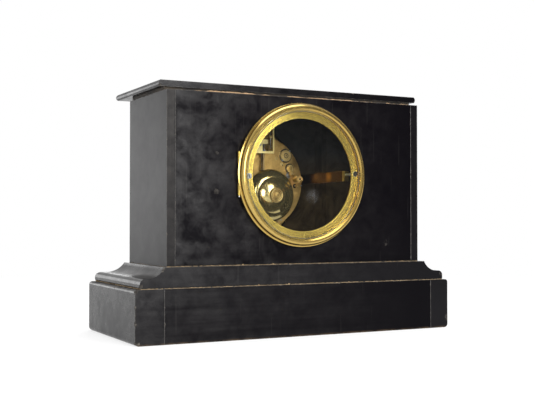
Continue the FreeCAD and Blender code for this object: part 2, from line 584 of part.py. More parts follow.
# Straps between the two rings, and the long screws that draw them to the back
strapFoot = f"({caseBack} - back_thick + flange_thick / 2)"
strapFront = f"({blockFront} + front_sleeve_depth - flange_thick)"
strapTall = (f"{axisHeight} + strap_lift - strap_width / 2", f"{axisHeight} + strap_lift + strap_width / 2")
strapFootY = (strapFoot, f"{strapFoot} + strap_thick")
straps = []
for label, way, (screwX, screwZ) in (("right_strap", 1, screwSpots[0]), ("left_strap", -1, screwSpots[1])):
    reach = lambda near, far: tuple(sorted((f"{way} * ({near})", f"{way} * ({far})"), key=value))
    outer = "strap_place + strap_thick"
    band = box(label + "_band", reach("strap_place", outer), (strapFront, strapFootY[1]), strapTall)
    foot = box(label + "_foot", reach(outer, f"{outer} + strap_foot"), strapFootY, strapTall)
    nearFoot = box(label + "_near_foot", reach(outer, f"{outer} + strap_front_foot"),
                   (strapFront, f"{strapFront} + strap_thick"), strapTall)
    hole = rod(label + "_hole", "screw_radius + running_gap", screwX,
               (f"{strapFoot} - {overrun}", f"{strapFoot} + {overrun}"), screwZ)
    straps.append(cut(label, fuse(label + "_whole", band, foot, nearFoot), hole))
keep(together("straps", *straps), "straps")
screws = []
for i, (x, z) in enumerate(screwSpots):
    shank = rod(f"ring_screw_shank{i}", "screw_radius", x, (f"{strapFoot} - screw_tail", flangeFace), z)
    head = rod(f"ring_screw_head{i}", "screw_head_radius", x,
               (flangeFace, f"{flangeFace} + screw_head_height"), z)
    slot = box(f"ring_screw_slot{i}", (f"{x} - screw_head_radius * 1.2", f"{x} + screw_head_radius * 1.2"),
               (f"{flangeFace} + screw_head_height / 2", f"{flangeFace} + {overrun}"),
               (f"{z} - screw_head_radius * 0.14", f"{z} + screw_head_radius * 0.14"))
    screws.append(cut(f"ring_screw{i}", fuse(f"ring_screw_whole{i}", shank, head), slot))

# Dial, with holes for the hands' pipes and the two winding squares
dialBack = f"({blockFront} - dial_sunk)"
dialFace = f"({dialBack} - dial_thick)"
barrelHeight = f"({axisHeight} - barrel_sink)"
dialThrough = (f"{dialFace} - {overrun}", f"{dialBack} + {overrun}")
keep(cut("dial", rod("dial_disc", "dial_radius", "0", (dialFace, dialBack), axisHeight),
         rod("dial_centre", "dial_centre_hole", "0", dialThrough, axisHeight),
         rod("dial_right_hole", "winding_hole", "barrel_place", dialThrough, barrelHeight),
         rod("dial_left_hole", "winding_hole", "-barrel_place", dialThrough, barrelHeight)), "dial")

# Numbers from here on are read from the sheet
v = {alias: value(alias) for alias in sizes}
axis, barrelZ = value(axisHeight), value(barrelHeight)
frontFace, backFace = value(frontPlate), value(backPlate)
gapStart, gapEnd = frontFace + v["plate_thick"], backFace - v["plate_thick"]
toBack = Vector(0, 1, 0)


def layer(name):
    return [gapStart + share * v["plate_gap"] for share in layerShares[name]]


def turn(x, z, angle, reach):
    a = math.radians(angle)
    return x + reach * math.cos(a), z + reach * math.sin(a)


def angleTo(a, b):
    return math.degrees(math.atan2(b[1] - a[1], b[0] - a[0]))


def pitchRadius(teeth, module):
    return teeth * v[module] / 2


def meshReach(teeth, leaves, module):
    return pitchRadius(teeth, module) + pitchRadius(leaves, module)


# The point at two distances from two others, on the left of the way from the first to the second
def meeting(a, reachA, b, reachB):
    span = math.dist(a, b)
    along = (reachA**2 - reachB**2 + span**2) / (2 * span)
    off = math.sqrt(reachA**2 - along**2)
    ux, uz = (b[0] - a[0]) / span, (b[1] - a[1]) / span
    return a[0] + ux * along - uz * off, a[1] + uz * along + ux * off


def disc(radius, at, y):
    return Part.makeCylinder(radius, y[1] - y[0], Vector(at[0], y[0], at[1]), toBack)


def plate(points, y):
    ring = [Vector(x, y[0], z) for x, z in points]
    return Part.Face(Part.makePolygon(ring + ring[:1])).extrude(Vector(0, y[1] - y[0], 0))


def joined(*solids):
    return solids[0].fuse(list(solids[1:])).removeSplitter()


def toothed(teeth, module, at, y, tooth, shares):
    tip, root, wide, point = shares
    pitch, size = math.radians(360 / teeth), v[module]
    outer = pitchRadius(teeth, module) + tip * size
    inner = pitchRadius(teeth, module) - root * size
    points = []
    for k in range(teeth):
        middle = math.radians(tooth) + k * pitch
        for radius, share in ((inner, -wide), (outer, -point), (outer, point), (inner, wide)):
            a = middle + share / 2 * pitch
            points.append((at[0] + radius * math.cos(a), at[1] + radius * math.sin(a)))
    return plate(points, y)


# Four openings between the spokes of a wheel
def crossings(at, inner, outer, y):
    if outer - inner < v["wheel_rim"]:
        return []
    found = []
    for k in range(4):
        points = []
        for radius, steps in ((inner, (1, 0)), (outer, (0, 1, 2, 3))):
            off = math.degrees(math.asin(v["spoke_width"] / 2 / radius))
            for step in steps:
                share = step / (len(steps) - 1)
                points.append(turn(*at, 90 * k + off + (90 - 2 * off) * share, radius))
        found.append(plate(points, (y[0] - v["overrun"], y[1] + v["overrun"])))
    return found


def wheel(teeth, module, at, name, tooth):
    y = layer(name)
    blank = toothed(teeth, module, at, y, tooth, toothShares)
    rim = pitchRadius(teeth, module) - wheelRootShare * v[module] - v["wheel_rim"]
    holes = crossings(at, v["wheel_hub"], rim, y)
    return blank.cut(holes) if holes else blank


def pinion(leaves, module, at, name, leaf):
    return toothed(leaves, module, at, layer(name), leaf, leafShares)


# An arbor between the plates, with its shoulders and pivots, on both sides of its pinion
def arbor(at, name):
    radius, pivot, gap = v["arbor_radius"], v["pivot_radius"], v["shoulder_gap"]
    first, last = layer(name)
    return [disc(pivot, at, (frontFace + gap, gapStart + gap)), disc(radius, at, (gapStart + gap, first)),
            disc(radius, at, (last, gapEnd - gap)), disc(pivot, at, (gapEnd - gap, backFace - gap))]


centre = (0, axis)
goingBarrel, strikeBarrel = (v["barrel_place"], barrelZ), (-v["barrel_place"], barrelZ)
second = meeting(goingBarrel, meshReach(barrelTeeth, secondLeaves, "great_module"),
                 centre, meshReach(secondTeeth, centreLeaves, "second_module"))
if second[1] < axis:
    second = meeting(centre, meshReach(secondTeeth, centreLeaves, "second_module"),
                     goingBarrel, meshReach(barrelTeeth, secondLeaves, "great_module"))
third = turn(*centre, thirdAngle, meshReach(centreTeeth, thirdLeaves, "centre_module"))
escapeReach = meshReach(thirdTeeth, escapeLeaves, "third_module")
escape = (0, third[1] + math.sqrt(escapeReach**2 - third[0]**2))
anchorAt = (0, escape[1] + v["pallet_rise"])
strikeSecond = turn(*strikeBarrel, strikeSecondAngle, meshReach(barrelTeeth, secondLeaves, "great_module"))
pinWheel = turn(*strikeSecond, pinWheelAngle, meshReach(secondTeeth, pinWheelLeaves, "second_module"))
fly = (-v["cock_place"], axis + v["cock_rise"])
warning = turn(*fly, warningAngle - 180, meshReach(warningTeeth, flyLeaves, "warning_module"))
lock = meeting(warning, meshReach(lockTeeth, warningLeaves, "lock_module"),
               pinWheel, meshReach(pinWheelTeeth, lockLeaves, "pin_wheel_module"))
hammerAt = (-v["hammer_left"], axis + v["hammer_rise"])
minuteReach = meshReach(minuteTeeth, cannonTeeth, "minute_module")
minuteAt = turn(*centre, minuteAngle, minuteReach)
pillars = [(x * v["plate_radius"], axis + z * v["plate_radius"]) for x, z in pillarShares]


def leafFor(driver, at, leaves):
    return angleTo(driver, at) + 180 + 180 / leaves


# Plates, with a hole for each arbor and pillar
frontY, backY = (frontFace, gapStart), (gapEnd, backFace)
small = v["pivot_radius"] + v["running_gap"]
pivotSpots = (second, third, escape, strikeSecond, pinWheel, lock, warning, fly)
rackAt = (-v["rack_left"], axis + v["rack_rise"])
leverAt = (-v["lever_left"], axis - v["lever_sink"])


def plateHoles(y, extra):
    long = (y[0] - v["overrun"], y[1] + v["overrun"])
    found = [disc(small, at, long) for at in pivotSpots]
    found += [disc(radius + v["running_gap"], at, long) for radius, at in extra]
    return found + [disc(v["pillar_tail_radius"] + v["running_gap"], at, long) for at in pillars]


def clockPlate(label, y, extra):
    blank = rod(label + "_disc", "plate_radius", "0",
                (frontPlate, f"{frontPlate} + plate_thick") if y is frontY
                else (f"{backPlate} - plate_thick", backPlate), axisHeight)
    holes = doc.addObject("Part::Feature", label + "_holes")
    holes.Shape = Part.Compound(plateHoles(y, extra))
    keep(cut(label, blank, holes), label)


clockPlate("front_plate", frontY, [
    (v["centre_radius"], centre), (v["barrel_arbor"], goingBarrel), (v["barrel_arbor"], strikeBarrel),
    (v["pivot_radius"], anchorAt), (v["pivot_radius"], hammerAt)])
clockPlate("back_plate", backY, [
    (v["pivot_radius"], centre), (v["barrel_pivot"], goingBarrel), (v["barrel_pivot"], strikeBarrel),
    (v["pallet_hub"], anchorAt), (v["hammer_arbor"], hammerAt)])

# Pillars: riveted through the front plate, pinned behind the back plate
pillarSolids, pinSolids = [], []
for at in pillars:
    middle = (gapStart + v["pillar_radius"] * 1.5, gapEnd - v["pillar_radius"] * 1.5)
    tail = disc(v["pillar_tail_radius"], at, (frontFace, backFace + v["pillar_tail"]))
    pin = Part.makeCylinder(v["taper_pin_radius"], v["taper_pin_length"],
                            Vector(at[0] - v["taper_pin_length"] / 2,
                                   backFace + v["taper_pin_radius"] * 2, at[1]), Vector(1, 0, 0))
    ends = [disc(v["pillar_radius"], at, y) for y in ((gapStart, middle[0]), (middle[1], gapEnd))]
    pillarSolids.append(joined(disc(v["pillar_waist"], at, middle), tail, *ends).cut(pin))
    pinSolids.append(pin)
made("pillars", pillarSolids)
keep(together("pins_and_screws", rearPin, frontPin, *screws, solidOf("pillar_pins", pinSolids)),
     "pins_and_screws")

# Lugs that carry the front plate in the front ring
lugs = []
lugY = (frontFace - v["lug_thick"], frontFace)
for angle in (90, 210, 330):
    inner, wide = v["lug_reach"] - v["lug_length"], v["lug_width"] / 2
    lug = plate([(inner, -wide), (v["lug_reach"], -wide), (v["lug_reach"], wide), (inner, wide)], lugY)
    lug.rotate(Vector(), toBack, -angle)
    lug.translate(Vector(0, 0, axis))
    lugs.append(lug)


# Spring barrel with its great wheel at the back, the coiled mainspring inside, and the winding arbor
def barrel(side, at, nextAt, lean):
    drumY, toothY = layer("barrel"), layer("great_wheel")
    great = wheel(barrelTeeth, "great_module", at, "great_wheel", angleTo(at, nextAt))
    drum = disc(v["barrel_radius"], at, (drumY[0], toothY[1]))
    hollow = disc(v["barrel_radius"] - v["barrel_wall"], at, (drumY[0] + v["barrel_cap"], toothY[0]))
    bore = disc(v["barrel_arbor"] + v["running_gap"], at,
                (drumY[0] - v["overrun"], toothY[1] + v["overrun"]))
    made(f"{side}_barrel", [joined(drum, great).cut([hollow, bore])])
    reach = v["barrel_radius"] - v["barrel_wall"] - v["spring_margin"] / 3
    inside, outside = [], []
    for k in range(springTurns * springSteps + 1):
        a = 360 * k / springSteps
        r = reach - v["spring_pitch"] * k / springSteps
        outside.append(turn(*at, a, r))
        inside.append(turn(*at, a, r - v["spring_leaf"]))
    margin = v["spring_margin"]
    made(f"{side}_mainspring", [plate(outside + inside[::-1],
                                      (drumY[0] + v["barrel_cap"] + margin, toothY[0] - margin))])
    core = disc(v["barrel_core"], at, (drumY[0] + v["barrel_cap"] + margin, toothY[0] - margin))
    dialSide = value(dialFace) + v["square_short"]
    squareStart = frontFace - v["ratchet_thick"] * 2
    half = v["winding_square"] / 2
    square = plate([(at[0] + x * half, at[1] + z * half) for x, z in ((-1, -1), (1, -1), (1, 1), (-1, 1))],
                   (dialSide, squareStart))
    shaft = disc(v["barrel_arbor"], at, (squareStart, gapEnd - v["shoulder_gap"]))
    tail = disc(v["barrel_pivot"], at, (gapEnd - v["shoulder_gap"], backFace - v["shoulder_gap"]))
    ratchetY = (frontFace - v["ratchet_thick"] - v["shoulder_gap"], frontFace - v["shoulder_gap"])
    points = []
    for k in range(ratchetTeeth):
        points.append(turn(*at, 360 * k / ratchetTeeth, v["ratchet_radius"] - v["ratchet_tooth"]))
        points.append(turn(*at, 360 * (k + 0.9) / ratchetTeeth, v["ratchet_radius"]))
    made(f"{side}_winding_arbor", [joined(core, shaft, tail, square, plate(points, ratchetY))])


barrel("going", goingBarrel, second, 1)
barrel("strike", strikeBarrel, strikeSecond, -1)


# A flat link: bars of one width between round ends
def link(points, width, y):
    solids = [disc(width / 2, p, y) for p in points]
    for a, b in zip(points, points[1:]):
        dx, dz = b[0] - a[0], b[1] - a[1]
        k = width / 2 / math.hypot(dx, dz)
        solids.append(plate([(a[0] - dz * k, a[1] + dx * k), (b[0] - dz * k, b[1] + dx * k),
                             (b[0] + dz * k, b[1] - dx * k), (a[0] + dz * k, a[1] - dx * k)], y))
    return joined(*solids)


# Clicks, each on a shouldered screw in the front plate, just clear of its ratchet
clickSolids = []
ratchetY = (frontFace - v["ratchet_thick"] - v["shoulder_gap"], frontFace - v["shoulder_gap"])
for at, way in ((goingBarrel, 1), (strikeBarrel, -1)):
    wide = v["click_width"]
    root = turn(*at, -90 + way * 52, v["click_reach"])
    tip = turn(*at, -90 + way * 82, v["ratchet_radius"] + v["click_clear"] + wide / 2)
    screw = disc(wide / 2, root, (ratchetY[0] - v["stud_head"] / 2, frontFace))
    clickSolids.append(joined(link([root, tip], wide, ratchetY), screw))

# Going train
made("second_wheel", [joined(
    *arbor(second, "second_pinion"),
    pinion(secondLeaves, "great_module", second, "second_pinion",
           leafFor(goingBarrel, second, secondLeaves)),
    wheel(secondTeeth, "second_module", second, "second_wheel", angleTo(second, centre)))])
centreFront = value(f"{dialFace} - minute_hand_rise - hand_thick - centre_end")
centreRod = disc(v["centre_radius"], centre, (centreFront, gapEnd - v["shoulder_gap"]))
made("centre_wheel", [joined(
    centreRod, disc(v["pivot_radius"], centre, (gapEnd - v["shoulder_gap"], backFace - v["shoulder_gap"])),
    pinion(centreLeaves, "second_module", centre, "centre_pinion", leafFor(second, centre, centreLeaves)),
    wheel(centreTeeth, "centre_module", centre, "centre_wheel", angleTo(centre, third)))])
made("third_wheel", [joined(
    *arbor(third, "third_pinion"),
    pinion(thirdLeaves, "centre_module", third, "third_pinion", leafFor(centre, third, thirdLeaves)),
    wheel(thirdTeeth, "third_module", third, "third_wheel", angleTo(third, escape)))])
escapeY = layer("escape_wheel")
points = []
for k in range(escapeTeeth):
    points.append(turn(*escape, 360 * k / escapeTeeth, v["escape_radius"] - v["escape_tooth"]))
    points.append(turn(*escape, 360 * (k + 0.2) / escapeTeeth, v["escape_radius"]))
    points.append(turn(*escape, 360 * (k + 0.3) / escapeTeeth, v["escape_radius"]))
escapeRim = v["escape_radius"] - v["escape_tooth"] - v["wheel_rim"] / 2
escapeDisc = plate(points, escapeY).cut(crossings(escape, v["wheel_hub"], escapeRim, escapeY))
made("escape_wheel", [joined(
    *arbor(escape, "escape_pinion"), escapeDisc,
    pinion(escapeLeaves, "third_module", escape, "escape_pinion", leafFor(third, escape, escapeLeaves)))])

# Anchor over the escape wheel, its arbor, and the crutch behind the back plate
anchorY = layer("anchor")
bridge = v["escape_radius"] + v["pallet_clear"]
arc, steps, spread = [], 8, 52
for k in range(steps + 1):
    arc.append(turn(*escape, 90 - spread + 2 * spread * k / steps, bridge + v["pallet_depth"]))
for k in range(steps, -1, -1):
    lift = 0 if k in (0, steps) else v["pallet_clear"]
    arc.append(turn(*escape, 90 - spread + 2 * spread * k / steps, bridge + lift))
footBack = value(f"{backPlate} + foot_thick")
crutchY = (backFace + v["crutch_stand"], backFace + v["crutch_stand"] + v["crutch_thick"])
anchorSolid = joined(plate(arc, anchorY), disc(v["pallet_hub"], anchorAt, anchorY),
                     disc(v["arbor_radius"], anchorAt, (gapStart + v["shoulder_gap"], crutchY[1])),
                     disc(v["pivot_radius"], anchorAt, (frontFace + v["shoulder_gap"], crutchY[1])))
crutchEnd = (0, anchorAt[1] - v["crutch_length"])
strip = link([anchorAt, crutchEnd], v["crutch_width"], crutchY)
hub = disc(v["pallet_hub"], anchorAt, crutchY)
bore = disc(v["arbor_radius"] + v["running_gap"], anchorAt,
            (crutchY[0] - v["overrun"], crutchY[1] + v["overrun"]))
prongIn = v["rod_radius"] + v["fork_gap"]
prongs = []
for way in (1, -1):
    xs = sorted((way * prongIn, way * (prongIn + v["fork_width"])))
    prongs.append(Part.makeBox(xs[1] - xs[0], v["fork_reach"] + v["crutch_thick"], v["crutch_width"],
                               Vector(xs[0], crutchY[0], crutchEnd[1] - v["crutch_width"] / 2)))
tie = Part.makeBox(2 * (prongIn + v["fork_width"]), v["crutch_thick"], v["crutch_width"],
                   Vector(-prongIn - v["fork_width"], crutchY[0], crutchEnd[1] - v["crutch_width"] / 2))
made("anchor_and_crutch", [anchorSolid, joined(strip, hub, tie, *prongs).cut(bore)])

# Suspension bracket on the back plate, its block, spring, and the pendulum
foot = (backPlate, f"{backPlate} + foot_thick")
faceY = (f"{backPlate} + face_stand", f"{backPlate} + face_stand + face_thick")
onAxis = lambda low, high: (f"{axisHeight} + {low}", f"{axisHeight} + {high}")
bracket = fuse("bracket_whole",
               box("bracket_foot", ("-bracket_foot_half", "bracket_foot_half"), foot,
                   onAxis("bracket_foot_low", "bracket_top")),
               box("bracket_face", ("-bracket_half", "bracket_half"), faceY,
                   onAxis("bracket_low", "bracket_top")),
               box("bracket_right_leg", ("bracket_half - leg_width", "bracket_half"), (foot[1], faceY[0]),
                   onAxis("bracket_foot_low", "leg_top")),
               box("bracket_left_leg", ("-bracket_half", "leg_width - bracket_half"), (foot[1], faceY[0]),
                   onAxis("bracket_foot_low", "leg_top")))
slotCut = box("bracket_slot", ("-slot_half", "slot_half"),
              (f"{faceY[0]} - running_gap", f"{faceY[1]} + {overrun}"), onAxis("slot_low", "slot_top"))
palletHole = rod("pallet_hole", "arbor_radius + running_gap", "0",
                 (f"{backPlate} - {overrun}", f"{foot[1]} + running_gap"), f"{anchorAt[1]}")
swing = f"({backPlate} + pendulum_stand)"
flexTop = f"({axisHeight} + flex_height)"
flexDeep = (f"{swing} - flex_width / 2", f"{swing} + flex_width / 2")
block = box("suspension_block", ("block_slip - slot_half", "slot_half - block_slip"),
            (flexDeep[0], faceY[1]), (flexTop, f"{flexTop} + block_height"))
screwX, screwHeight = "-(slot_half + bracket_half) / 2", f"{flexTop} + block_height"
screwY = (faceY[1], f"{faceY[1]} + face_thick / 2", f"{faceY[1]} + face_thick * 0.7")
screw = fuse("suspension_screw",
             rod("suspension_screw_head", "nut_radius / 2", screwX, screwY[:2], screwHeight),
             rod("suspension_screw_neck", "nut_radius / 3", screwX, screwY[1:], screwHeight))
keep(together("suspension_bracket", cut("bracket_plates", bracket, slotCut, palletHole), block, screw),
     "suspension_bracket")
flexLow = f"({flexTop} - flex_length)"
keep(fuse("suspension_spring",
          box("flex_strip", ("-flex_thick / 2", "flex_thick / 2"), flexDeep,
              (flexLow, f"{flexTop} - running_gap")),
          box("flex_chop", ("-chop_half", "chop_half"), flexDeep,
              (f"{flexLow} - chop_height", flexLow))), "suspension_spring")
bobHeight = f"({axisHeight} - bob_drop)"
rodTop = f"({flexLow} - chop_height)"
rodLow = f"({bobHeight} - bob_radius - rod_tail)"
bobLow = f"{bobHeight} - bob_radius"
keep(fuse("pendulum_rod", post("rod_body", "rod_radius", "0", swing, (bobLow, rodTop)),
          post("rod_screw", "rod_thread", "0", swing, (rodLow, bobLow))), "pendulum_rod")
halfThick = "(bob_thick / 2)"
domeRadius = "((bob_radius ^ 2 + (bob_thick / 2 - bob_edge / 2) ^ 2) / (bob_thick - bob_edge))"
bobTurned = turned("bob_turned", [
    ("0", f"-{halfThick}"), ("bob_radius", "-bob_edge / 2", domeRadius, 1),
    ("bob_radius", "bob_edge / 2"), ("0", halfThick, domeRadius, 1),
], "0", swing, bobHeight)
keep(cut("pendulum_bob", bobTurned,
         post("bob_bore", "rod_radius + running_gap", "0", swing,
              (f"{bobHeight} - 2 * bob_radius", f"{bobHeight} + 2 * bob_radius"))), "pendulum_bob")
nutTop = f"{bobHeight} - bob_radius - shoulder_gap"
keep(cut("rating_nut", post("nut_disc", "nut_radius", "0", swing, (f"{nutTop} - nut_height", nutTop)),
         post("nut_bore", "rod_thread + running_gap", "0", swing,
              (f"{nutTop} - 2 * nut_height", f"{nutTop} + nut_height"))), "rating_nut")

# Strike train
made("strike_second_wheel", [joined(
    *arbor(strikeSecond, "second_pinion"),
    pinion(secondLeaves, "great_module", strikeSecond, "second_pinion",
           leafFor(strikeBarrel, strikeSecond, secondLeaves)),
    wheel(secondTeeth, "second_module", strikeSecond, "second_wheel", angleTo(strikeSecond, pinWheel)))])
pinY = layer("strike_pins")
pegs = [disc(v["strike_pin_radius"], turn(*pinWheel, 360 * k / strikePins, v["strike_pin_circle"]),
             (layer("pin_wheel")[0], pinY[1])) for k in range(strikePins)]
made("pin_wheel", [joined(
    *arbor(pinWheel, "pin_wheel_pinion"),
    pinion(pinWheelLeaves, "second_module", pinWheel, "pin_wheel_pinion",
           leafFor(strikeSecond, pinWheel, pinWheelLeaves)),
    toothed(pinWheelTeeth, "pin_wheel_module", pinWheel, layer("pin_wheel"), angleTo(pinWheel, lock),
            (wheelTipShare, wheelRootShare, wheelToothShare, wheelPointShare)), *pegs)])
made("locking_wheel", [joined(
    *arbor(lock, "lock_pinion"),
    pinion(lockLeaves, "pin_wheel_module", lock, "lock_pinion", leafFor(pinWheel, lock, lockLeaves)),
    wheel(lockTeeth, "lock_module", lock, "lock_wheel", angleTo(lock, warning)))])
made("warning_wheel", [joined(
    *arbor(warning, "warning_pinion"),
    pinion(warningLeaves, "lock_module", warning, "warning_pinion", leafFor(lock, warning, warningLeaves)),
    wheel(warningTeeth, "warning_module", warning, "warning_wheel", angleTo(warning, fly)))])
vaneY = layer("fly_vanes")
vaneReach = meshReach(warningTeeth, flyLeaves, "warning_module") * 0.74
vaneHalf = v["strike_pin_radius"]
corners = ((-1, -1), (1, -1), (1, 1), (-1, 1))
vane = plate([(fly[0] + x * vaneReach, fly[1] + z * vaneHalf) for x, z in corners],
             vaneY)
made("strike_fly", [joined(
    *arbor(fly, "fly_pinion"), vane,
    pinion(flyLeaves, "warning_module", fly, "fly_pinion", leafFor(warning, fly, flyLeaves)))])


# A round wire through points
def wire(points, radius):
    solids = [Part.makeSphere(radius, p) for p in points[1:-1]]
    for a, b in zip(points, points[1:]):
        solids.append(Part.makeCylinder(radius, (b - a).Length, a, b - a))
    return joined(*solids)


# Hammer: arbor with its tail between the plates, the bent wire and the head behind
tailY = layer("hammer_tail")
tailEnd = turn(*hammerAt, -72, v["tail_length"])
hubY = (backFace + v["cock_thick"] + v["shoulder_gap"],
        backFace + v["cock_thick"] + v["shoulder_gap"] + v["hammer_hub_height"])
headAt = (hammerAt[0], hammerAt[1] - v["hammer_drop"])
headY = (backFace + v["hammer_stand"], backFace + v["hammer_stand"] + v["hammer_length"])
wireSpots = [Vector(hammerAt[0], sum(hubY) / 2, hammerAt[1]),
             Vector(hammerAt[0] - v["hammer_radius"], sum(hubY) / 2, hammerAt[1] - v["hammer_drop"] * 0.6),
             Vector(headAt[0], headY[0] - v["hammer_radius"], headAt[1]),
             Vector(headAt[0], headY[0] + v["hammer_radius"], headAt[1])]
made("hammer", [joined(
    disc(v["hammer_arbor"], hammerAt, (gapStart + v["shoulder_gap"], hubY[1])),
    disc(v["pivot_radius"], hammerAt, (frontFace + v["shoulder_gap"], hubY[1])),
    link([hammerAt, tailEnd], v["tail_width"], tailY), disc(v["hammer_hub"], hammerAt, hubY),
    wire(wireSpots, v["hammer_rod"]), disc(v["hammer_radius"], headAt, headY))])

# Cocks on the back plate: a round one at the fly, a drop-shaped one at the hammer
cockY = (backFace, backFace + v["cock_thick"])
through = (backFace - v["overrun"], backFace + v["overrun"])
roundCock = disc(v["cock_radius"], fly, cockY).cut(disc(small, fly, through))
side = v["cock_small_radius"]
tipSpot = turn(*hammerAt, 250, v["cock_tip_length"])
dropCock = joined(disc(side, hammerAt, cockY), disc(v["cock_tip_radius"], tipSpot, cockY),
                  link([hammerAt, tipSpot], v["cock_tip_radius"] * 2, cockY))
dropCock = dropCock.cut([disc(v["hammer_arbor"] + v["running_gap"], hammerAt, through),
                         disc(v["cock_radius"] + v["door_gap"] / 3, fly, through)])
made("plate_cocks_and_lugs", [roundCock, dropCock] + lugs)

# Bell, its offset stand and the nut that holds it
bellX, bellHeight = "-bell_left", f"({axisHeight} - bell_sink)"
inner = lambda text: f"{text} - bell_wall"
keep(turned("bell", [
    ("bell_radius", "bell_mouth"), ("bell_waist_radius", "bell_waist", "bell_flare", 1),
    ("bell_crown_radius", "bell_crown", "bell_dome", 1), ("bell_bore", "bell_crown"),
    ("bell_bore", inner("bell_crown")), ("bell_crown_radius - bell_wall / 2", inner("bell_crown")),
    ("bell_waist_radius - bell_wall", "bell_waist - bell_wall / 2", "bell_dome - bell_wall", -1),
    ("bell_radius - bell_wall", "bell_mouth - bell_wall / 2", "bell_flare - bell_wall", -1),
], bellX, backPlate, bellHeight), "bell")
bellAt = (-v["bell_left"], axis - v["bell_sink"])
postAt = (-v["post_left"], axis - v["post_sink"])
armY = backFace + v["bell_mouth"]
seatY = backFace + v["bell_crown"] - v["bell_wall"]
armSpots = [Vector(postAt[0], armY, postAt[1]), Vector(bellAt[0], armY + v["stand_arm_radius"], bellAt[1])]
stand = solidOf("bell_post", [joined(
    disc(v["post_foot"], postAt, (backFace, backFace + v["post_foot_height"])),
    disc(v["post_radius"], postAt, (backFace, armY + v["stand_arm_radius"])),
    wire(armSpots, v["stand_arm_radius"]), disc(v["stand_shoulder"], bellAt, (armY, seatY)),
    disc(v["stand_stud"], bellAt, (armY, seatY + v["bell_wall"] + v["bell_nut_thick"] * 2)))])
nutY = "bell_crown"
bellNut = turned("bell_nut", [
    ("stand_stud + running_gap", nutY), ("bell_nut_radius", nutY),
    ("bell_nut_radius", f"{nutY} + bell_nut_thick * 0.7"),
    ("bell_nut_radius - bell_nut_thick * 0.3", f"{nutY} + bell_nut_thick"),
    ("bell_nut_boss", f"{nutY} + bell_nut_thick"),
    ("bell_nut_boss", f"{nutY} + bell_nut_thick + bell_nut_boss_height"),
    ("stand_stud + running_gap", f"{nutY} + bell_nut_thick + bell_nut_boss_height"),
], bellX, backPlate, bellHeight)
keep(together("bell_stand", stand, bellNut), "bell_stand")

# Motion work in front of the front plate
cannonY = (frontFace - v["motion_low"] - v["motion_wheel"], frontFace - v["motion_low"])
hourY = (frontFace - v["hour_layer"] - v["hour_wheel_thick"], frontFace - v["hour_layer"])
snailY = (frontFace - v["snail_layer"] - v["snail_thick"], frontFace - v["snail_layer"])
handY = [value(dialFace) - v[rise] for rise in ("hour_hand_rise", "minute_hand_rise")]
cannonLeaf = angleTo(centre, minuteAt) + 180 / cannonTeeth
cannonBore = disc(v["centre_radius"] + v["running_gap"], centre, (centreFront - v["overrun"], gapEnd))
handFront = handY[1] - v["hand_thick"]
collet = disc(v["collet_radius"], centre, (handFront - v["collet_height"] / 2, handFront)).cut(cannonBore)
made("cannon_pinion", [joined(
    toothed(cannonTeeth, "minute_module", centre, cannonY, cannonLeaf, leafShares),
    disc(v["cannon_radius"], centre, (handFront, cannonY[1]))).cut(cannonBore), collet])
studBore = disc(v["stud_radius"] + v["running_gap"], minuteAt, (frontFace - 2 * v["overrun"], frontFace))
made("minute_wheel", [joined(
    toothed(minuteTeeth, "minute_module", minuteAt, cannonY, angleTo(minuteAt, centre), toothShares),
    toothed(minuteLeaves, "hour_module", minuteAt, (hourY[0], cannonY[1]),
            angleTo(minuteAt, centre) + 180 / minuteLeaves, leafShares)).cut(studBore)])
pipeIn = v["cannon_radius"] + v["running_gap"]
pipeOut = pipeIn + v["pipe_wall"]
pipe = disc(pipeOut, centre, (handY[0] - v["hand_thick"], hourY[1]))
pipeBore = disc(pipeIn, centre, (centreFront - v["overrun"], gapEnd))
hourWheel = joined(
    toothed(hourTeeth, "hour_module", centre, hourY, angleTo(centre, minuteAt), toothShares), pipe)
snailPoints = []
for k in range(snailSteps):
    radius = v["snail_high"] - (v["snail_high"] - v["snail_low"]) * k / (snailSteps - 1)
    for share in (0, 0.5, 1):
        snailPoints.append(turn(*centre, 120 - 360 * (k + share) / snailSteps, radius))
snailBore = disc(pipeOut + v["running_gap"], centre, (snailY[0] - v["overrun"], snailY[1] + v["overrun"]))
made("hour_wheel", [hourWheel.cut(pipeBore), plate(snailPoints, snailY).cut(snailBore)])

# Studs of the minute wheel, the rack and the lifting lever
leverY = (frontFace - v["lever_layer"] - v["lever_thick"], frontFace - v["lever_layer"])
studs = []
for at, front in ((minuteAt, hourY[0]), (rackAt, snailY[0]), (leverAt, leverY[0])):
    tip = front - v["shoulder_gap"]
    studs.append(joined(disc(v["stud_radius"], at, (tip, frontFace)),
                        disc(v["stud_head"], at, (tip - v["shoulder_gap"] * 2, tip))))
made("clicks_and_studs", clickSolids + studs)


def collar(at, y):
    ring = disc(v["stud_head"], at, (y[0], frontFace - v["shoulder_gap"]))
    far = (y[0] - v["overrun"], frontFace + v["overrun"])
    return ring, disc(v["stud_radius"] + v["running_gap"], at, far)


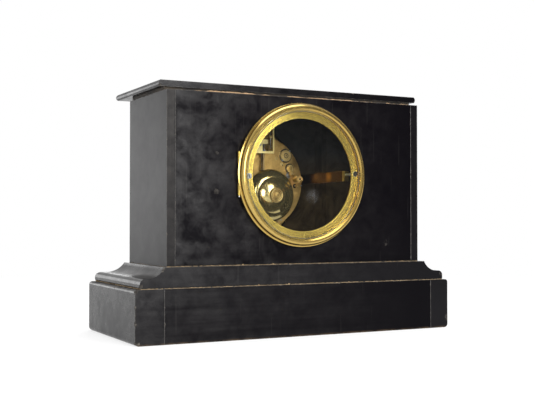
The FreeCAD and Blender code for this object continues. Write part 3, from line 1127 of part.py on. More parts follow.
# Rack: a toothed sector and a tail that would fall on the snail
ring, hole = collar(rackAt, snailY)
sectorOut = []
for k in range(rackTeeth):
    a = -132 + 30 * k / rackTeeth
    sectorOut += [turn(*rackAt, a, v["rack_arm"]), turn(*rackAt, a + 1.9, v["rack_arm"] + v["rack_tooth"])]
sectorIn = [turn(*rackAt, a, v["rack_arm"] - v["rack_band"]) for a in (-102, -112, -122, -132)]
made("rack", [joined(
    plate(sectorOut + sectorIn, snailY), ring,
    link([rackAt, turn(*rackAt, -116, v["rack_arm"] - v["rack_band"] / 2)], v["link_width"], snailY),
    link([rackAt, turn(*rackAt, -11.5, v["rack_tail"])], v["link_width"], snailY)).cut(hole)])
ring, hole = collar(leverAt, leverY)
leverEnd = (-v["lever_end_left"], axis - v["lever_end_sink"])
made("lifting_lever", [joined(link([leverAt, leverEnd], v["link_width"], leverY), ring).cut(hole)])


# Moon hands: a boss, a tapered blade, a pierced moon and a point, set to ten past ten
def hand(label, length, angle, y, bore, tail):
    wide, tip, moon = v["hand_width"] / 2, v["hand_tip"] / 2, v["moon_radius"]
    moonAt = length * 0.72
    blade = plate([(-wide, 0), (wide, 0), (wide * 0.55, moonAt), (-wide * 0.55, moonAt)], y)
    low = moonAt + moon * 0.7
    point = plate([(-wide * 0.6, low), (wide * 0.6, low), (tip, length), (-tip, length)], y)
    body = [blade, point, disc(v["hand_boss"], (0, 0), y), disc(moon, (0, moonAt), y)]
    if tail:
        body.append(plate([(-wide * 0.6, 0), (wide * 0.6, 0), (wide, -tail), (-wide, -tail)], y))
    whole = joined(*body)
    far = (y[0] - v["overrun"], y[1] + v["overrun"])
    whole = whole.cut([disc(v["moon_hole"], (0, moonAt + moon * 0.15), far), disc(bore, (0, 0), far)])
    whole.rotate(Vector(), toBack, angle)
    whole.translate(Vector(0, 0, axis))
    made(label, [whole])


hand("hour_hand", v["hour_hand"], hourHandAngle, (handY[0] - v["hand_thick"], handY[0]),
     pipeOut + v["running_gap"], 0)
hand("minute_hand", v["minute_hand"], minuteHandAngle, (handY[1] - v["hand_thick"], handY[1]),
     v["cannon_radius"] + v["running_gap"], v["hand_tail"])

doc.recompute()

# Every object has to be sound, and every piece a valid solid, before anything is written
for item in doc.Objects:
    if {"Invalid", "Error"} & set(item.State):
        raise RuntimeError(f"{item.Label} did not build: {item.State}")
for item in kept:
    if item.Shape.isNull() or not item.Shape.isValid() or not item.Shape.Solids:
        raise RuntimeError(f"{item.Label} is not a valid solid")
os.makedirs("parts", exist_ok=True)
for item in kept:
    item.Shape.exportStep(os.path.join("parts", item.Label + ".step"))
    print(item.Label, len(item.Shape.Solids), round(item.Shape.Volume, 1))
print(len(kept), "pieces")
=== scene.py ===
import json
import math
import random
from functools import partialmethod

import bpy
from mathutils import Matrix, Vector


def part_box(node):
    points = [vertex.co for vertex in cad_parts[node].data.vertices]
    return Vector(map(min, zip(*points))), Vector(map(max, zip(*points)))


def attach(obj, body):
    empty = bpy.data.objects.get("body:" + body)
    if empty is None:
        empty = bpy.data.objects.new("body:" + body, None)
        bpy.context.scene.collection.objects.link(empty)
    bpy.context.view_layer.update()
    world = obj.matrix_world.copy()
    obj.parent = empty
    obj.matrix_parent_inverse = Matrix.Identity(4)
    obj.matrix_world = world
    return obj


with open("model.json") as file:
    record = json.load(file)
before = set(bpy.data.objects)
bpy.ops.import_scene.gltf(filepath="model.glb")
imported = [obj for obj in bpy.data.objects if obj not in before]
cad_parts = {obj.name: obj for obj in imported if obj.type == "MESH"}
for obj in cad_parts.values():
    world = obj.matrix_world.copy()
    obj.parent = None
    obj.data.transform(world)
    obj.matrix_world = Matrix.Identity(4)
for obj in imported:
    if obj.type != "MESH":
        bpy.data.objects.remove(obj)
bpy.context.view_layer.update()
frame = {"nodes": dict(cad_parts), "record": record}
nodes = frame["nodes"]

# Where the clock's main parts stand, in metres. Its front faces -Y and +X is right seen from there
case = {
    "sideHalf": 0.1378, "jointHalf": 0.1296, "back": 0.0624, "wingFront": -0.0400,
    "floor": 0.06875, "top": 0.2294, "baseTop": 0.0496,
    # The hollow of the case, and the part of it inside the dial block
    "inside": ((-0.1290, -0.0398, 0.0010), (0.1290, 0.0490, 0.2290)),
    "blockInside": ((-0.0831, -0.0560, 0.0010), (0.0831, -0.0390, 0.2290)),
}
dialAxis, doorAxis, bellAxis = (0, 0.1505), (0, 0.1543), (-0.0047, 0.1365)  # X and Z of each
print("frame loaded:", len(nodes), "pieces")


# Wiring: each call adds one shader node and gives back its output
class Wires:
    def __init__(self, tree):
        self.tree = tree

    def feed(self, socket, source):
        if isinstance(source, bpy.types.NodeSocket):
            self.tree.links.new(source, socket)
        else:
            socket.default_value = source

    def add(self, kind, inputs=None, **settings):
        node = self.tree.nodes.new(kind)
        for key, item in settings.items():
            setattr(node, key, item)
        for key, source in (inputs or {}).items():
            self.feed(node.inputs[key], source)
        return node

    def calc(self, operation, *values, clamp=False):
        node = self.add("ShaderNodeMath", operation=operation, use_clamp=clamp)
        for i, source in enumerate(values):
            self.feed(node.inputs[i], source)
        return node.outputs[0]

    plus, minus = partialmethod(calc, "ADD"), partialmethod(calc, "SUBTRACT")
    times, divided = partialmethod(calc, "MULTIPLY"), partialmethod(calc, "DIVIDE")
    most, least = partialmethod(calc, "MAXIMUM"), partialmethod(calc, "MINIMUM")
    above, below = partialmethod(calc, "GREATER_THAN"), partialmethod(calc, "LESS_THAN")

    def vector(self, operation, *values):
        node = self.add("ShaderNodeVectorMath", operation=operation)
        for i, source in enumerate(values):
            self.feed(node.inputs[i], source)
        return node.outputs["Value" if operation == "LENGTH" else "Vector"]

    def noise(self, vector, scale, detail=4, roughness=0.55, distortion=0):
        return self.add("ShaderNodeTexNoise", {"Vector": vector, "Scale": scale, "Detail": detail,
                                               "Roughness": roughness, "Distortion": distortion}).outputs["Fac"]

    def spread(self, source, low, high, start=0.0, end=1.0):
        return self.add("ShaderNodeMapRange", {"Value": source, "From Min": low, "From Max": high,
                                               "To Min": start, "To Max": end}).outputs["Result"]

    def between(self, amount, first, second):
        return self.add("ShaderNodeMix", {0: amount, 2: first, 3: second}, data_type="FLOAT").outputs[0]

    def blend(self, amount, first, second):
        return self.add("ShaderNodeMix", {0: amount, 6: first, 7: second}, data_type="RGBA").outputs[2]

    def split(self, vector):
        return self.add("ShaderNodeSeparateXYZ", {"Vector": vector}).outputs

    def join(self, x, y, z):
        return self.add("ShaderNodeCombineXYZ", {"X": x, "Y": y, "Z": z}).outputs["Vector"]

    def group(self, tree, **inputs):
        return self.add("ShaderNodeGroup", inputs, node_tree=tree).outputs

    def place(self):
        return self.add("ShaderNodeTexCoord").outputs["Object"]

    def stretched(self, *scale):
        return self.add("ShaderNodeMapping", {"Vector": self.place(), "Scale": scale}).outputs["Vector"]

    def away(self, point):
        return self.vector("LENGTH", self.vector("SUBTRACT", self.place(), point))

    # Distances of a point from the nearer walls of a box, along X, Y and Z
    def wallGaps(self, low, high):
        return self.split(self.vector("MINIMUM", self.vector("SUBTRACT", self.place(), low),
                                      self.vector("SUBTRACT", high, self.place())))


# A shader node group. A tuple among its inputs makes a vector socket
def effect(name, inputs, *outputs):
    tree = bpy.data.node_groups.new(name, "ShaderNodeTree")
    for label, start in inputs.items():
        kind = "NodeSocketVector" if isinstance(start, tuple) else "NodeSocketFloat"
        tree.interface.new_socket(label, in_out="INPUT", socket_type=kind).default_value = start
    for label in outputs:
        tree.interface.new_socket(label, in_out="OUTPUT", socket_type="NodeSocketFloat")
    given, out = tree.nodes.new("NodeGroupInput"), tree.nodes.new("NodeGroupOutput")
    return Wires(tree), given.outputs, out.inputs


# Cloudy patches and fine grain, as in honed stone or old lacquer
def makeMottle():
    w, given, out = effect("mottle", {"PatchScale": 18.0, "GrainScale": 900.0, "Shift": 0.0},
                           "Patches", "Grain")
    spot = w.vector("ADD", w.place(), w.join(given["Shift"], 0.0, given["Shift"]))
    w.feed(out["Patches"], w.spread(w.noise(spot, given["PatchScale"], 5, 0.6, 0.6), 0.32, 0.68))
    w.feed(out["Grain"], w.noise(spot, given["GrainScale"], 3, 0.6))
    return w.tree


# How far a point is from the nearest arris of a box, in metres
def makeArris():
    w, given, out = effect("arrisDistance", {"Low": (0, 0, 0), "High": (1, 1, 1)}, "Distance")
    x, y, z = w.wallGaps(given["Low"], given["High"])
    w.feed(out["Distance"], w.most(w.least(x, y), w.least(w.most(x, y), z)))
    return w.tree


# Chips that eat into an arris here and there
def makeChips():
    w, given, out = effect("arrisChips", {"Distance": 1.0, "Width": 0.001, "Rarity": 0.5, "Scale": 160.0},
                           "Chips", "Rub")
    bites = w.noise(w.place(), given["Scale"], 4, 0.7)
    depth = w.times(w.minus(bites, given["Rarity"], clamp=True), given["Width"])
    w.feed(out["Chips"], w.below(given["Distance"], w.times(depth, 5.0)))
    thin = w.times(given["Width"], w.spread(bites, 0.3, 0.7, 0.1, 0.6))
    w.feed(out["Rub"], w.spread(w.divided(given["Distance"], thin), 0.4, 1.0, 1.0, 0.0))
    return w.tree


# Long fine scratches in two directions
def makeScratches():
    w, given, out = effect("scratches", {"Scale": 30.0, "Amount": 0.5, "Turn": (0.3, 0.5, 0.2)}, "Lines")
    found = []
    for slant, shift in (((0, 0.35, 0), 0.0), ((0, -0.8, 0.5), 0.37)):
        turned = w.add("ShaderNodeMapping", {
            "Vector": w.place(), "Rotation": w.vector("ADD", given["Turn"], slant),
            "Location": (shift, shift, shift), "Scale": (1.0, 1.0, 0.035)})
        lines = w.noise(turned.outputs["Vector"], w.times(given["Scale"], 22.0), 2, 0.5)
        patch = w.noise(w.place(), given["Scale"], 3, 0.5)
        found.append(w.above(lines, w.spread(patch, 0.45, 0.75, 0.74, 0.64)))
    w.feed(out["Lines"], w.times(w.most(*found), given["Amount"]))
    return w.tree


# Lathe marks round an axis that runs front to back
def makeTurnedMarks():
    w, given, out = effect("turnedMarks", {"Centre": (0, 0, 0), "Fineness": 2600.0, "Wander": 0.0004}, "Marks")
    x, y, z = w.split(w.vector("SUBTRACT", w.place(), given["Centre"]))
    reach = w.vector("LENGTH", w.join(x, 0.0, z))
    sway = w.times(w.noise(w.place(), 60.0, 2), given["Wander"])
    w.feed(out["Marks"], w.noise(w.join(w.plus(w.plus(reach, y), sway), 0.0, 0.0), given["Fineness"], 3, 0.7))
    return w.tree


# Brown and dull patches on old brass
def makeTarnish():
    w, given, out = effect("tarnish", {"Scale": 40.0, "Cover": 0.5}, "Patches", "Spots")
    cloud = w.noise(w.place(), given["Scale"], 6, 0.65, 0.4)
    w.feed(out["Patches"], w.times(w.spread(cloud, 0.38, 0.72), given["Cover"]))
    dots = w.add("ShaderNodeTexVoronoi", {"Vector": w.place(), "Scale": w.times(given["Scale"], 14.0)})
    size = w.spread(w.noise(w.place(), w.times(given["Scale"], 2.0), 3), 0.5, 0.8, 0.0, 0.28)
    w.feed(out["Spots"], w.below(dots.outputs["Distance"], size))
    return w.tree


# Dust on what faces up
def makeDust():
    w, given, out = effect("dust", {"Amount": 0.5, "Scale": 50.0}, "Dust")
    up = w.split(w.add("ShaderNodeNewGeometry").outputs["Normal"])["Z"]
    cloud = w.spread(w.noise(w.place(), given["Scale"], 5, 0.65), 0.3, 0.75, 0.35, 1.0)
    w.feed(out["Dust"], w.times(w.times(w.spread(up, 0.25, 0.95), cloud), given["Amount"]))
    return w.tree


# One inside a box, nought outside it
def makeInside():
    w, given, out = effect("insideBox", {"Low": (0, 0, 0), "High": (1, 1, 1)}, "Inside")
    x, y, z = w.wallGaps(given["Low"], given["High"])
    w.feed(out["Inside"], w.above(w.least(w.least(x, y), z), 0.0))
    return w.tree


# A chip knocked off at one spot
def makeKnock():
    w, given, out = effect("knock", {"Centre": (0, 0, 0), "Reach": 0.003}, "Chip")
    ragged = w.times(w.noise(w.place(), 420.0, 3, 0.7), given["Reach"])
    w.feed(out["Chip"], w.below(w.plus(w.away(given["Centre"]), ragged), given["Reach"]))
    return w.tree


mottle, arrisDistance, arrisChips = makeMottle(), makeArris(), makeChips()
scratches, turnedMarks, tarnish = makeScratches(), makeTurnedMarks(), makeTarnish()
dust, insideBox, knock = makeDust(), makeInside(), makeKnock()
print("shared effects made")


def newMaterial(name):
    material = bpy.data.materials.new(name)
    material.use_nodes = True
    shader = material.node_tree.nodes["Principled BSDF"]
    return material, Wires(material.node_tree), shader


def setBump(w, shader, height, strength, distance):
    bump = w.add("ShaderNodeBump", {"Height": height, "Strength": strength, "Distance": distance})
    w.feed(shader.inputs["Normal"], bump.outputs["Normal"])


def dress(material, *names):
    for name in names:
        for slot in nodes[name].material_slots:
            slot.material = material


# Honed black slate, unevenly waxed outside and dull brown inside the case, where the upper inside is painted
# dark grey as a painted reflection
slate = {
    "black": (0.0022, 0.0017, 0.0028, 1), "bloom": (0.023, 0.0217, 0.0223, 1),
    "bruise": (0.17, 0.155, 0.135, 1), "rubbed": (0.085, 0.080, 0.075, 1), "sawn": (0.048, 0.045, 0.043, 1),
    "rim": (0.085, 0.058, 0.036, 1), "dustTone": (0.20, 0.185, 0.16, 1),
    "inner": (0.030, 0.019, 0.009, 1), "innerPale": (0.115, 0.078, 0.036, 1),
    "paintedReflection": (0.013, 0.013, 0.014, 1), "paintedReflectionPale": (0.050, 0.051, 0.053, 1), "paintedReflectionFrom": (0.150, 0.185),
    # Bloom: which shades of the clouds show, and how it fades towards the clock's left end, a painted shade on
    # that end of the back
    "clouding": {"base_back_slab": (0.10, 0.90, 0.20, 0.72), "others": (0.16, 0.80, 0.0, 1.0)},
    "paintedShade": (-0.130, 0.125, 0.03, 1.0), "streaked": (0.070, 0.115, 0.45, 0.85), "sideBloom": 0.25,
    "smooth": 0.24, "rough": 0.33, "specular": 0.055, "waxRough": 0.2, "wax": (0.01, 0.26),
    "evenWax": (0.24, 0.34), "bump": 0.12, "evenBump": 0.06,
    "sideSpecular": 0.085, "sideDuller": 0.12, "sawnPatches": (0.35, 0.95), "sawnRise": (0.08, 0.21, 0.45, 1.0),
    "chipWidth": 0.0011, "chipRarity": 0.54, "rubAmount": 0.6, "scratchAmount": 0.12, "rimUpTo": 0.0020,
    "dustAmount": 0.12, "dulled": ("top_slab", "base_end_slabs"), "dulling": 9.0,
    "twins": ("base_end_slabs", "wing_fronts", "dial_block_cheeks"),
    "sides": ("case_right_side", "case_left_side"),
    "even": ("base_end_slabs", "plinth_moulding", "top_slab"),
    # Each knock: where, how far it reaches, how pale it is
    "knocks": {
        "base_end_slabs": (
            ((0.170, 0.070, 0.0496), 0.0075, 0.35), ((0.170, 0.070, 0.0340), 0.0032, 0.6),
            ((0.170, 0.070, 0.0195), 0.0042, 0.7), ((0.170, 0.070, 0.0000), 0.0080, 0.7),
            ((0.170, 0.012, 0.0496), 0.0050, 0.7), ((-0.170, -0.070, 0.0496), 0.0080, 0.8),
            ((-0.170, 0.070, 0.0110), 0.0060, 0.7)),
        "plinth_moulding": (
            ((0.1640, 0.068, 0.0520), 0.0042, 0.45), ((0.1450, 0.068, 0.0680), 0.0060, 0.7),
            ((-0.1640, 0.068, 0.0560), 0.0050, 0.7)),
        "top_slab": (((0.1421, 0.0528, 0.2331), 0.0050, 0.6), ((-0.1421, -0.0717, 0.2390), 0.0060, 0.8)),
        "case_back": (
            ((0.0890, 0.0624, 0.1370), 0.0052, 0.25), ((0.0885, 0.0624, 0.1730), 0.0030, 0.25),
            ((-0.0990, 0.0624, 0.0880), 0.0050, 0.2)),
    },
}


# Where the two slabs of one piece end, on the sides that face each other
def innerEnds(name):
    places = [point.co.x for point in nodes[name].data.vertices]
    return max(x for x in places if x < 0), min(x for x in places if x > 0)


def makeSlate(name, index):
    s, isSide, isEven = slate, name in slate["sides"], name in slate["even"]
    low, high = (tuple(corner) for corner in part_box(name))
    material, w, shader = newMaterial(f"slate_{name}")
    x, y, z = w.split(w.place())
    if name in s["twins"]:
        left, right = innerEnds(name)
        onRight = w.above(x, 0.0)
        low = w.join(w.spread(onRight, 0.0, 1.0, low[0], right), low[1], low[2])
        high = w.join(w.spread(onRight, 0.0, 1.0, left, high[0]), high[1], high[2])
    clouds = w.group(mottle, PatchScale=36.0, GrainScale=1400.0, Shift=index * 0.37)
    smears = w.group(mottle, PatchScale=95.0, GrainScale=300.0, Shift=index * 0.91)
    # Bloom, wiped sideways into streaks
    streaks = w.noise(w.stretched(0.05, 1.0, 1.0), 150.0, 4, 0.6)
    streaks = w.spread(streaks, 0.35, 0.62, w.spread(z, *s["streaked"]), 1.0)
    film = w.plus(w.times(clouds["Patches"], 0.60), w.times(smears["Patches"], 0.40))
    film = w.spread(film, *s["clouding"].get(name, s["clouding"]["others"]))
    # The bloom fades out towards the clock's left end: painted shade, so the back is darker there
    film = w.times(film, w.times(streaks, w.spread(x, *s["paintedShade"])))
    if isSide:
        film = w.plus(w.times(film, s["sideBloom"]), s["sideBloom"])
    colour = w.blend(film, s["black"], s["bloom"])
    # The back edges of the sides were sawn and never polished
    if isSide:
        edgeOn = w.above(y, case["back"] - 0.0002)
        shown = w.times(w.spread(smears["Patches"], 0.0, 1.0, *s["sawnPatches"]), w.spread(z, *s["sawnRise"]))
        colour = w.blend(w.times(edgeOn, shown), colour, s["sawn" if name == "case_right_side" else "black"])
    lines = w.group(scratches, Scale=16.0, Amount=0.5, Turn=(0.2 * index, 0.4, 0.3 + index))["Lines"]
    colour = w.blend(w.times(lines, s["scratchAmount"]), colour, s["rubbed"])
    arris = w.group(arrisDistance, Low=low, High=high)["Distance"]
    edge = w.group(arrisChips, Distance=arris, Width=s["chipWidth"], Rarity=s["chipRarity"], Scale=190.0)
    colour = w.blend(w.times(edge["Rub"], s["rubAmount"]), colour, s["rubbed"])
    bruise = w.blend(w.spread(smears["Grain"], 0.35, 0.65), s["black"], s["bruise"])
    colour = w.blend(edge["Chips"], colour, bruise)
    chipped = edge["Chips"]
    for centre, reach, pale in s["knocks"].get(name, ()):
        chip = w.group(knock, Centre=centre, Reach=reach)["Chip"]
        colour = w.blend(w.times(chip, pale), colour, bruise)
        chipped = w.most(chipped, chip)
    rim = w.spread(z, 0.0005, s["rimUpTo"], 1.0, 0.0)
    colour = w.blend(w.times(rim, smears["Patches"]), colour, s["rim"])
    fallen = w.group(dust, Amount=s["dustAmount"], Scale=45.0)["Dust"]
    colour = w.blend(fallen, colour, s["dustTone"])
    # What lies under the dust has lost its wax
    if name in s["dulled"]:
        fallen = w.times(fallen, s["dulling"], clamp=True)
    hollow = w.most(*(w.group(insideBox, Low=case[room][0], High=case[room][1])["Inside"]
                      for room in ("inside", "blockInside")))
    dull = w.blend(clouds["Patches"], s["inner"], s["innerPale"])
    # Higher up inside the case the colour turns dark grey: a painted reflection
    dull = w.blend(w.spread(z, *s["paintedReflectionFrom"]), dull, w.blend(clouds["Patches"], s["paintedReflection"], s["paintedReflectionPale"]))
    w.feed(shader.inputs["Base Color"], w.blend(hollow, colour, dull))
    gloss = w.spread(film, 0.0, 0.8, s["rough"], s["smooth"])
    if isSide:
        gloss = w.plus(gloss, s["sideDuller"])
    for mask, value in ((chipped, 0.8), (fallen, 0.75), (hollow, 0.85), (lines, 0.5)):
        gloss = w.between(mask, gloss, value)
    w.feed(shader.inputs["Roughness"], gloss)
    # The sides of the case are honed, but not waxed
    if not isSide:
        bare = w.most(w.most(chipped, hollow), fallen)
        wax = w.spread(film, 0.1, 0.75, *s["evenWax" if isEven else "wax"])
        w.feed(shader.inputs["Coat Weight"], w.times(wax, w.minus(1.0, bare)))
        shader.inputs["Coat Roughness"].default_value = s["waxRough"]
    shader.inputs["Specular IOR Level"].default_value = s["sideSpecular" if isSide else "specular"]
    grain = w.plus(w.times(clouds["Grain"], 0.35), w.times(smears["Grain"], 0.5))
    height = w.minus(w.minus(grain, w.times(chipped, 2.2)), w.times(lines, 0.2))
    setBump(w, shader, height, s["evenBump" if isEven else "bump"], 0.0002)
    return material


slateNames = [s["node"] for s in frame["record"]["subparts"] if s["material_slot"] == "slate"]
for index, name in enumerate(slateNames):
    dress(makeSlate(name, index), name)
print("slate done")

# Plaster, putty and mortar: light and dark tone, fineness, and the pieces that wear each
plaster = {
    "plaster_seam": dict(light=(0.60, 0.44, 0.25, 1), dark=(0.20, 0.13, 0.06, 1)),
    "plaster_grey": dict(light=(0.15, 0.143, 0.145, 1), dark=slate["rubbed"]),
    "putty_grey": dict(light=(0.26, 0.225, 0.15, 1), dark=(0.09, 0.07, 0.035, 1), scale=380.0),
    # Near black: the painted shadow lines along the joints, and the grease in a ring screw
    "painted_shadow_and_grease": dict(light=(0.012, 0.010, 0.009, 1), dark=(0.002, 0.002, 0.002, 1)),
    "plaster_pink": dict(light=(0.62, 0.38, 0.22, 1), dark=(0.20, 0.13, 0.06, 1)),
    "plaster_inner": dict(light=(0.30, 0.22, 0.14, 1), dark=(0.10, 0.07, 0.045, 1), scale=260.0,
                          wornBy=("plaster_fillets",)),
    "cornice_bedding": dict(light=(0.10, 0.075, 0.05, 1), dark=(0.015, 0.013, 0.012, 1), scale=220.0,
                            wornBy=("cornice_bed",)),
}


def makePlaster(name, light, dark, scale=500.0):
    material, w, shader = newMaterial(name)
    clouds = w.group(mottle, PatchScale=scale * 0.16, GrainScale=scale * 4, Shift=0.2)
    w.feed(shader.inputs["Base Color"], w.blend(w.times(clouds["Patches"], clouds["Grain"]), dark, light))
    w.feed(shader.inputs["Roughness"], w.spread(clouds["Grain"], 0.3, 0.7, 0.7, 0.95))
    setBump(w, shader, clouds["Grain"], 0.6, 0.0003)
    return material


# Brass in its different finishes. Those with an axis show lathe marks round it, the others are brushed
gilt, paleBrass, agedBrass = (0.68, 0.49, 0.15, 1), (0.84, 0.62, 0.25, 1), (0.36, 0.235, 0.06, 1)
brownStain, darkSpot = (0.24, 0.135, 0.035, 1), (0.10, 0.06, 0.02, 1)
rearHinge = ((0.0652, 0.0626, 0.1310), (0.0700, 0.0670, 0.1776))  # duller inside this box
# The straps' bent feet are painted paler as a painted highlight, and one strap has a warm painted highlight
strap = {"bentFrom": 0.0478, "foot": (0.34, 0.25, 0.08, 1), "glow": (0.34, 0.15, 0.01, 1),
         "paintedHighlightAt": (-0.0556, 0.0210, 0.1550), "paintedHighlightReach": (0.0012, 0.0075, 0.85, 0.0)}
brass = {
    "gilt_rear_rings": dict(
        tone=gilt, stain=brownStain, axis=doorAxis, smooth=0.19, cover=0.12, marks=0.30, fineness=1300.0,
        dullIn=rearHinge, rings=0.75, wornBy=("rear_door_bezel", "rear_glass_retainer")),
    "gilt_front_rings": dict(
        tone=gilt, stain=brownStain, axis=dialAxis, smooth=0.19, cover=0.12, marks=0.28, fineness=1300.0,
        rings=0.6, wornBy=("front_ring", "front_door_bezel", "front_glass_retainer")),
    "flange_brass": dict(
        tone=(0.70, 0.52, 0.125, 1), stain=brownStain, axis=doorAxis, smooth=0.20, cover=0.15, marks=1.3,
        fineness=1500.0, dullIn=rearHinge, wornBy=("rear_ring",)),
    "plate_brass": dict(
        tone=(0.80, 0.53, 0.18, 1), stain=brownStain, smooth=0.32, cover=0.75, marks=0.08, fineness=1500.0,
        scale=60.0, wornBy=("front_plate", "back_plate")),
    "wheel_brass": dict(
        tone=paleBrass, stain=agedBrass, smooth=0.24, cover=0.3, marks=0.06, fineness=3000.0, scale=90.0,
        wornBy=("going_barrel", "strike_barrel", "second_wheel", "centre_wheel", "third_wheel", "escape_wheel",
                "strike_second_wheel", "pin_wheel", "locking_wheel", "warning_wheel", "strike_fly",
                "minute_wheel", "hour_wheel", "cannon_pinion")),
    "fitting_brass": dict(
        tone=paleBrass, stain=agedBrass, smooth=0.26, cover=0.3, marks=0.05, fineness=2400.0, scale=110.0,
        wornBy=("hammer", "pendulum_bob", "rating_nut", "pillars")),
    "cock_brass": dict(
        tone=paleBrass, stain=agedBrass, smooth=0.42, cover=0.2, marks=0.05, fineness=2400.0, scale=140.0,
        wornBy=("plate_cocks_and_lugs",)),
    "bracket_brass": dict(
        tone=(0.95, 0.80, 0.36, 1), stain=agedBrass, smooth=0.42, cover=0.2, marks=0.05, fineness=1800.0,
        scale=90.0, wornBy=("suspension_bracket",)),
    "strap_brass": dict(
        tone=(0.080, 0.036, 0.004, 1), stain=(0.020, 0.009, 0.002, 1), smooth=0.30, cover=0.6, marks=0.08,
        fineness=1600.0, scale=80.0, bent=True, wornBy=("straps",)),
    "bell_metal": dict(
        tone=(0.74, 0.60, 0.27, 1), stain=(0.34, 0.27, 0.10, 1), axis=bellAxis, smooth=0.10, cover=0.3,
        marks=0.010, fineness=3200.0, scale=70.0, metallic=0.9, wornBy=("bell",)),
    "bell_nut_brass": dict(
        tone=paleBrass, stain=brownStain, axis=bellAxis, smooth=0.28, cover=0.0, marks=0.5, fineness=1500.0,
        scale=120.0, rings=0.9, wornBy=("bell_stand",)),
    # Dark brass of the suspension chops, also used for the painted shade in the bell nut's grooves
    "chop_brass": dict(
        tone=(0.20, 0.13, 0.045, 1), stain=(0.04, 0.024, 0.010, 1), smooth=0.45, cover=0.8, marks=0.1,
        fineness=2000.0, scale=160.0),
}


def makeBrass(name, tone, stain, smooth, cover, marks, fineness, axis=None, scale=45.0, rings=0.4,
              dullIn=None, bent=False, metallic=1.0):
    material, w, shader = newMaterial(name)
    aged = w.group(tarnish, Scale=scale, Cover=cover)
    lines = w.group(scratches, Scale=60.0, Amount=0.7, Turn=(0.7, 0.2, 1.1))["Lines"]
    if axis:
        height = w.group(turnedMarks, Centre=(axis[0], 0, axis[1]), Fineness=fineness, Wander=0.00003)["Marks"]
        spotted, ringed = 0.15, rings
    else:
        height = w.noise(w.stretched(1.0, 1.0, 0.03), fineness, 3, 0.6)
        spotted, ringed = 0.5, 0.22
    colour = w.blend(aged["Patches"], tone, stain)
    colour = w.blend(w.times(aged["Spots"], spotted), colour, darkSpot)
    colour = w.blend(w.spread(height, 0.35, 0.72, 0.0, ringed), colour, stain)
    if bent:
        # Painted highlights on the straps: paler bent feet and a warm spot
        colour = w.blend(w.above(w.split(w.place())["Y"], strap["bentFrom"]), colour, strap["foot"])
        colour = w.blend(w.spread(w.away(strap["paintedHighlightAt"]), *strap["paintedHighlightReach"]), colour, strap["glow"])
    w.feed(shader.inputs["Base Color"], colour)
    shader.inputs["Metallic"].default_value = metallic
    gloss = w.spread(aged["Patches"], 0.0, 0.6, smooth, smooth + 0.24)
    gloss = w.plus(gloss, w.times(w.most(lines, aged["Spots"]), 0.2))
    if dullIn:
        gloss = w.plus(gloss, w.times(w.group(insideBox, Low=dullIn[0], High=dullIn[1])["Inside"], 0.22))
    w.feed(shader.inputs["Roughness"], gloss)
    setBump(w, shader, w.minus(w.times(height, marks), w.times(lines, 0.05)), 1.0, 0.0002)
    return material


# Steel parts: two tones that cloud into each other, and specks of rust
greySteel = (0.30, 0.30, 0.31, 1)
steel = {
    "ground_steel": dict(
        tone=(0.52, 0.52, 0.53, 1), second=greySteel, smooth=0.25,
        wornBy=("pins_and_screws", "clicks_and_studs", "anchor_and_crutch", "rack", "lifting_lever",
                "going_winding_arbor", "strike_winding_arbor")),
    "blued_steel": dict(
        tone=(0.035, 0.055, 0.17, 1), second=(0.20, 0.13, 0.16, 1), smooth=0.16, scale=35.0,
        wornBy=("hour_hand", "minute_hand")),
    "spring_steel": dict(
        tone=(0.17, 0.19, 0.25, 1), second=greySteel, smooth=0.2,
        wornBy=("going_mainspring", "strike_mainspring", "suspension_spring")),
    "rod_steel": dict(
        tone=(0.34, 0.25, 0.13, 1), second=(0.20, 0.13, 0.06, 1), smooth=0.34, wornBy=("pendulum_rod",)),
}


def makeSteel(name, tone, second, smooth, scale=120.0, rust=(0.16, 0.075, 0.03, 1)):
    material, w, shader = newMaterial(name)
    clouds = w.group(mottle, PatchScale=scale, GrainScale=4000.0, Shift=0.6)
    rusted = w.times(w.group(tarnish, Scale=scale, Cover=0.5)["Spots"], 0.5)
    w.feed(shader.inputs["Base Color"], w.blend(rusted, w.blend(clouds["Patches"], tone, second), rust))
    shader.inputs["Metallic"].default_value = 1.0
    w.feed(shader.inputs["Roughness"], w.spread(clouds["Grain"], 0.3, 0.7, smooth, smooth + 0.18))
    setBump(w, shader, clouds["Grain"], 0.2, 0.00008)
    return material


# Enamel dial with fine cracks, and the black of its figures
enamel = {"white": (0.80, 0.775, 0.70, 1), "cream": (0.70, 0.655, 0.55, 1), "hair": (0.35, 0.30, 0.24, 1),
          "black": (0.012, 0.012, 0.014, 1), "greyed": (0.03, 0.028, 0.027, 1), "crackWide": 0.006}


def makeEnamel(name):
    material, w, shader = newMaterial(name)
    clouds = w.group(mottle, PatchScale=30.0, GrainScale=600.0, Shift=0.1)
    cracks = w.add("ShaderNodeTexVoronoi", {"Vector": w.place(), "Scale": 38.0}, feature="DISTANCE_TO_EDGE")
    fine = w.times(w.spread(cracks.outputs["Distance"], 0.0, enamel["crackWide"], 1.0, 0.0),
                   w.spread(clouds["Patches"], 0.45, 0.9))
    colour = w.blend(clouds["Patches"], enamel["white"], enamel["cream"])
    w.feed(shader.inputs["Base Color"], w.blend(w.times(fine, 0.5), colour, enamel["hair"]))
    w.feed(shader.inputs["Roughness"], w.spread(clouds["Grain"], 0.3, 0.7, 0.12, 0.22))
    setBump(w, shader, w.minus(clouds["Grain"], fine), 0.06, 0.0002)
    return material


def makeFigureBlack(name):
    material, w, shader = newMaterial(name)
    clouds = w.group(mottle, PatchScale=300.0, GrainScale=3000.0, Shift=0.8)
    w.feed(shader.inputs["Base Color"], w.blend(clouds["Patches"], enamel["black"], enamel["greyed"]))
    w.feed(shader.inputs["Roughness"], w.spread(clouds["Grain"], 0.3, 0.7, 0.2, 0.4))
    return material


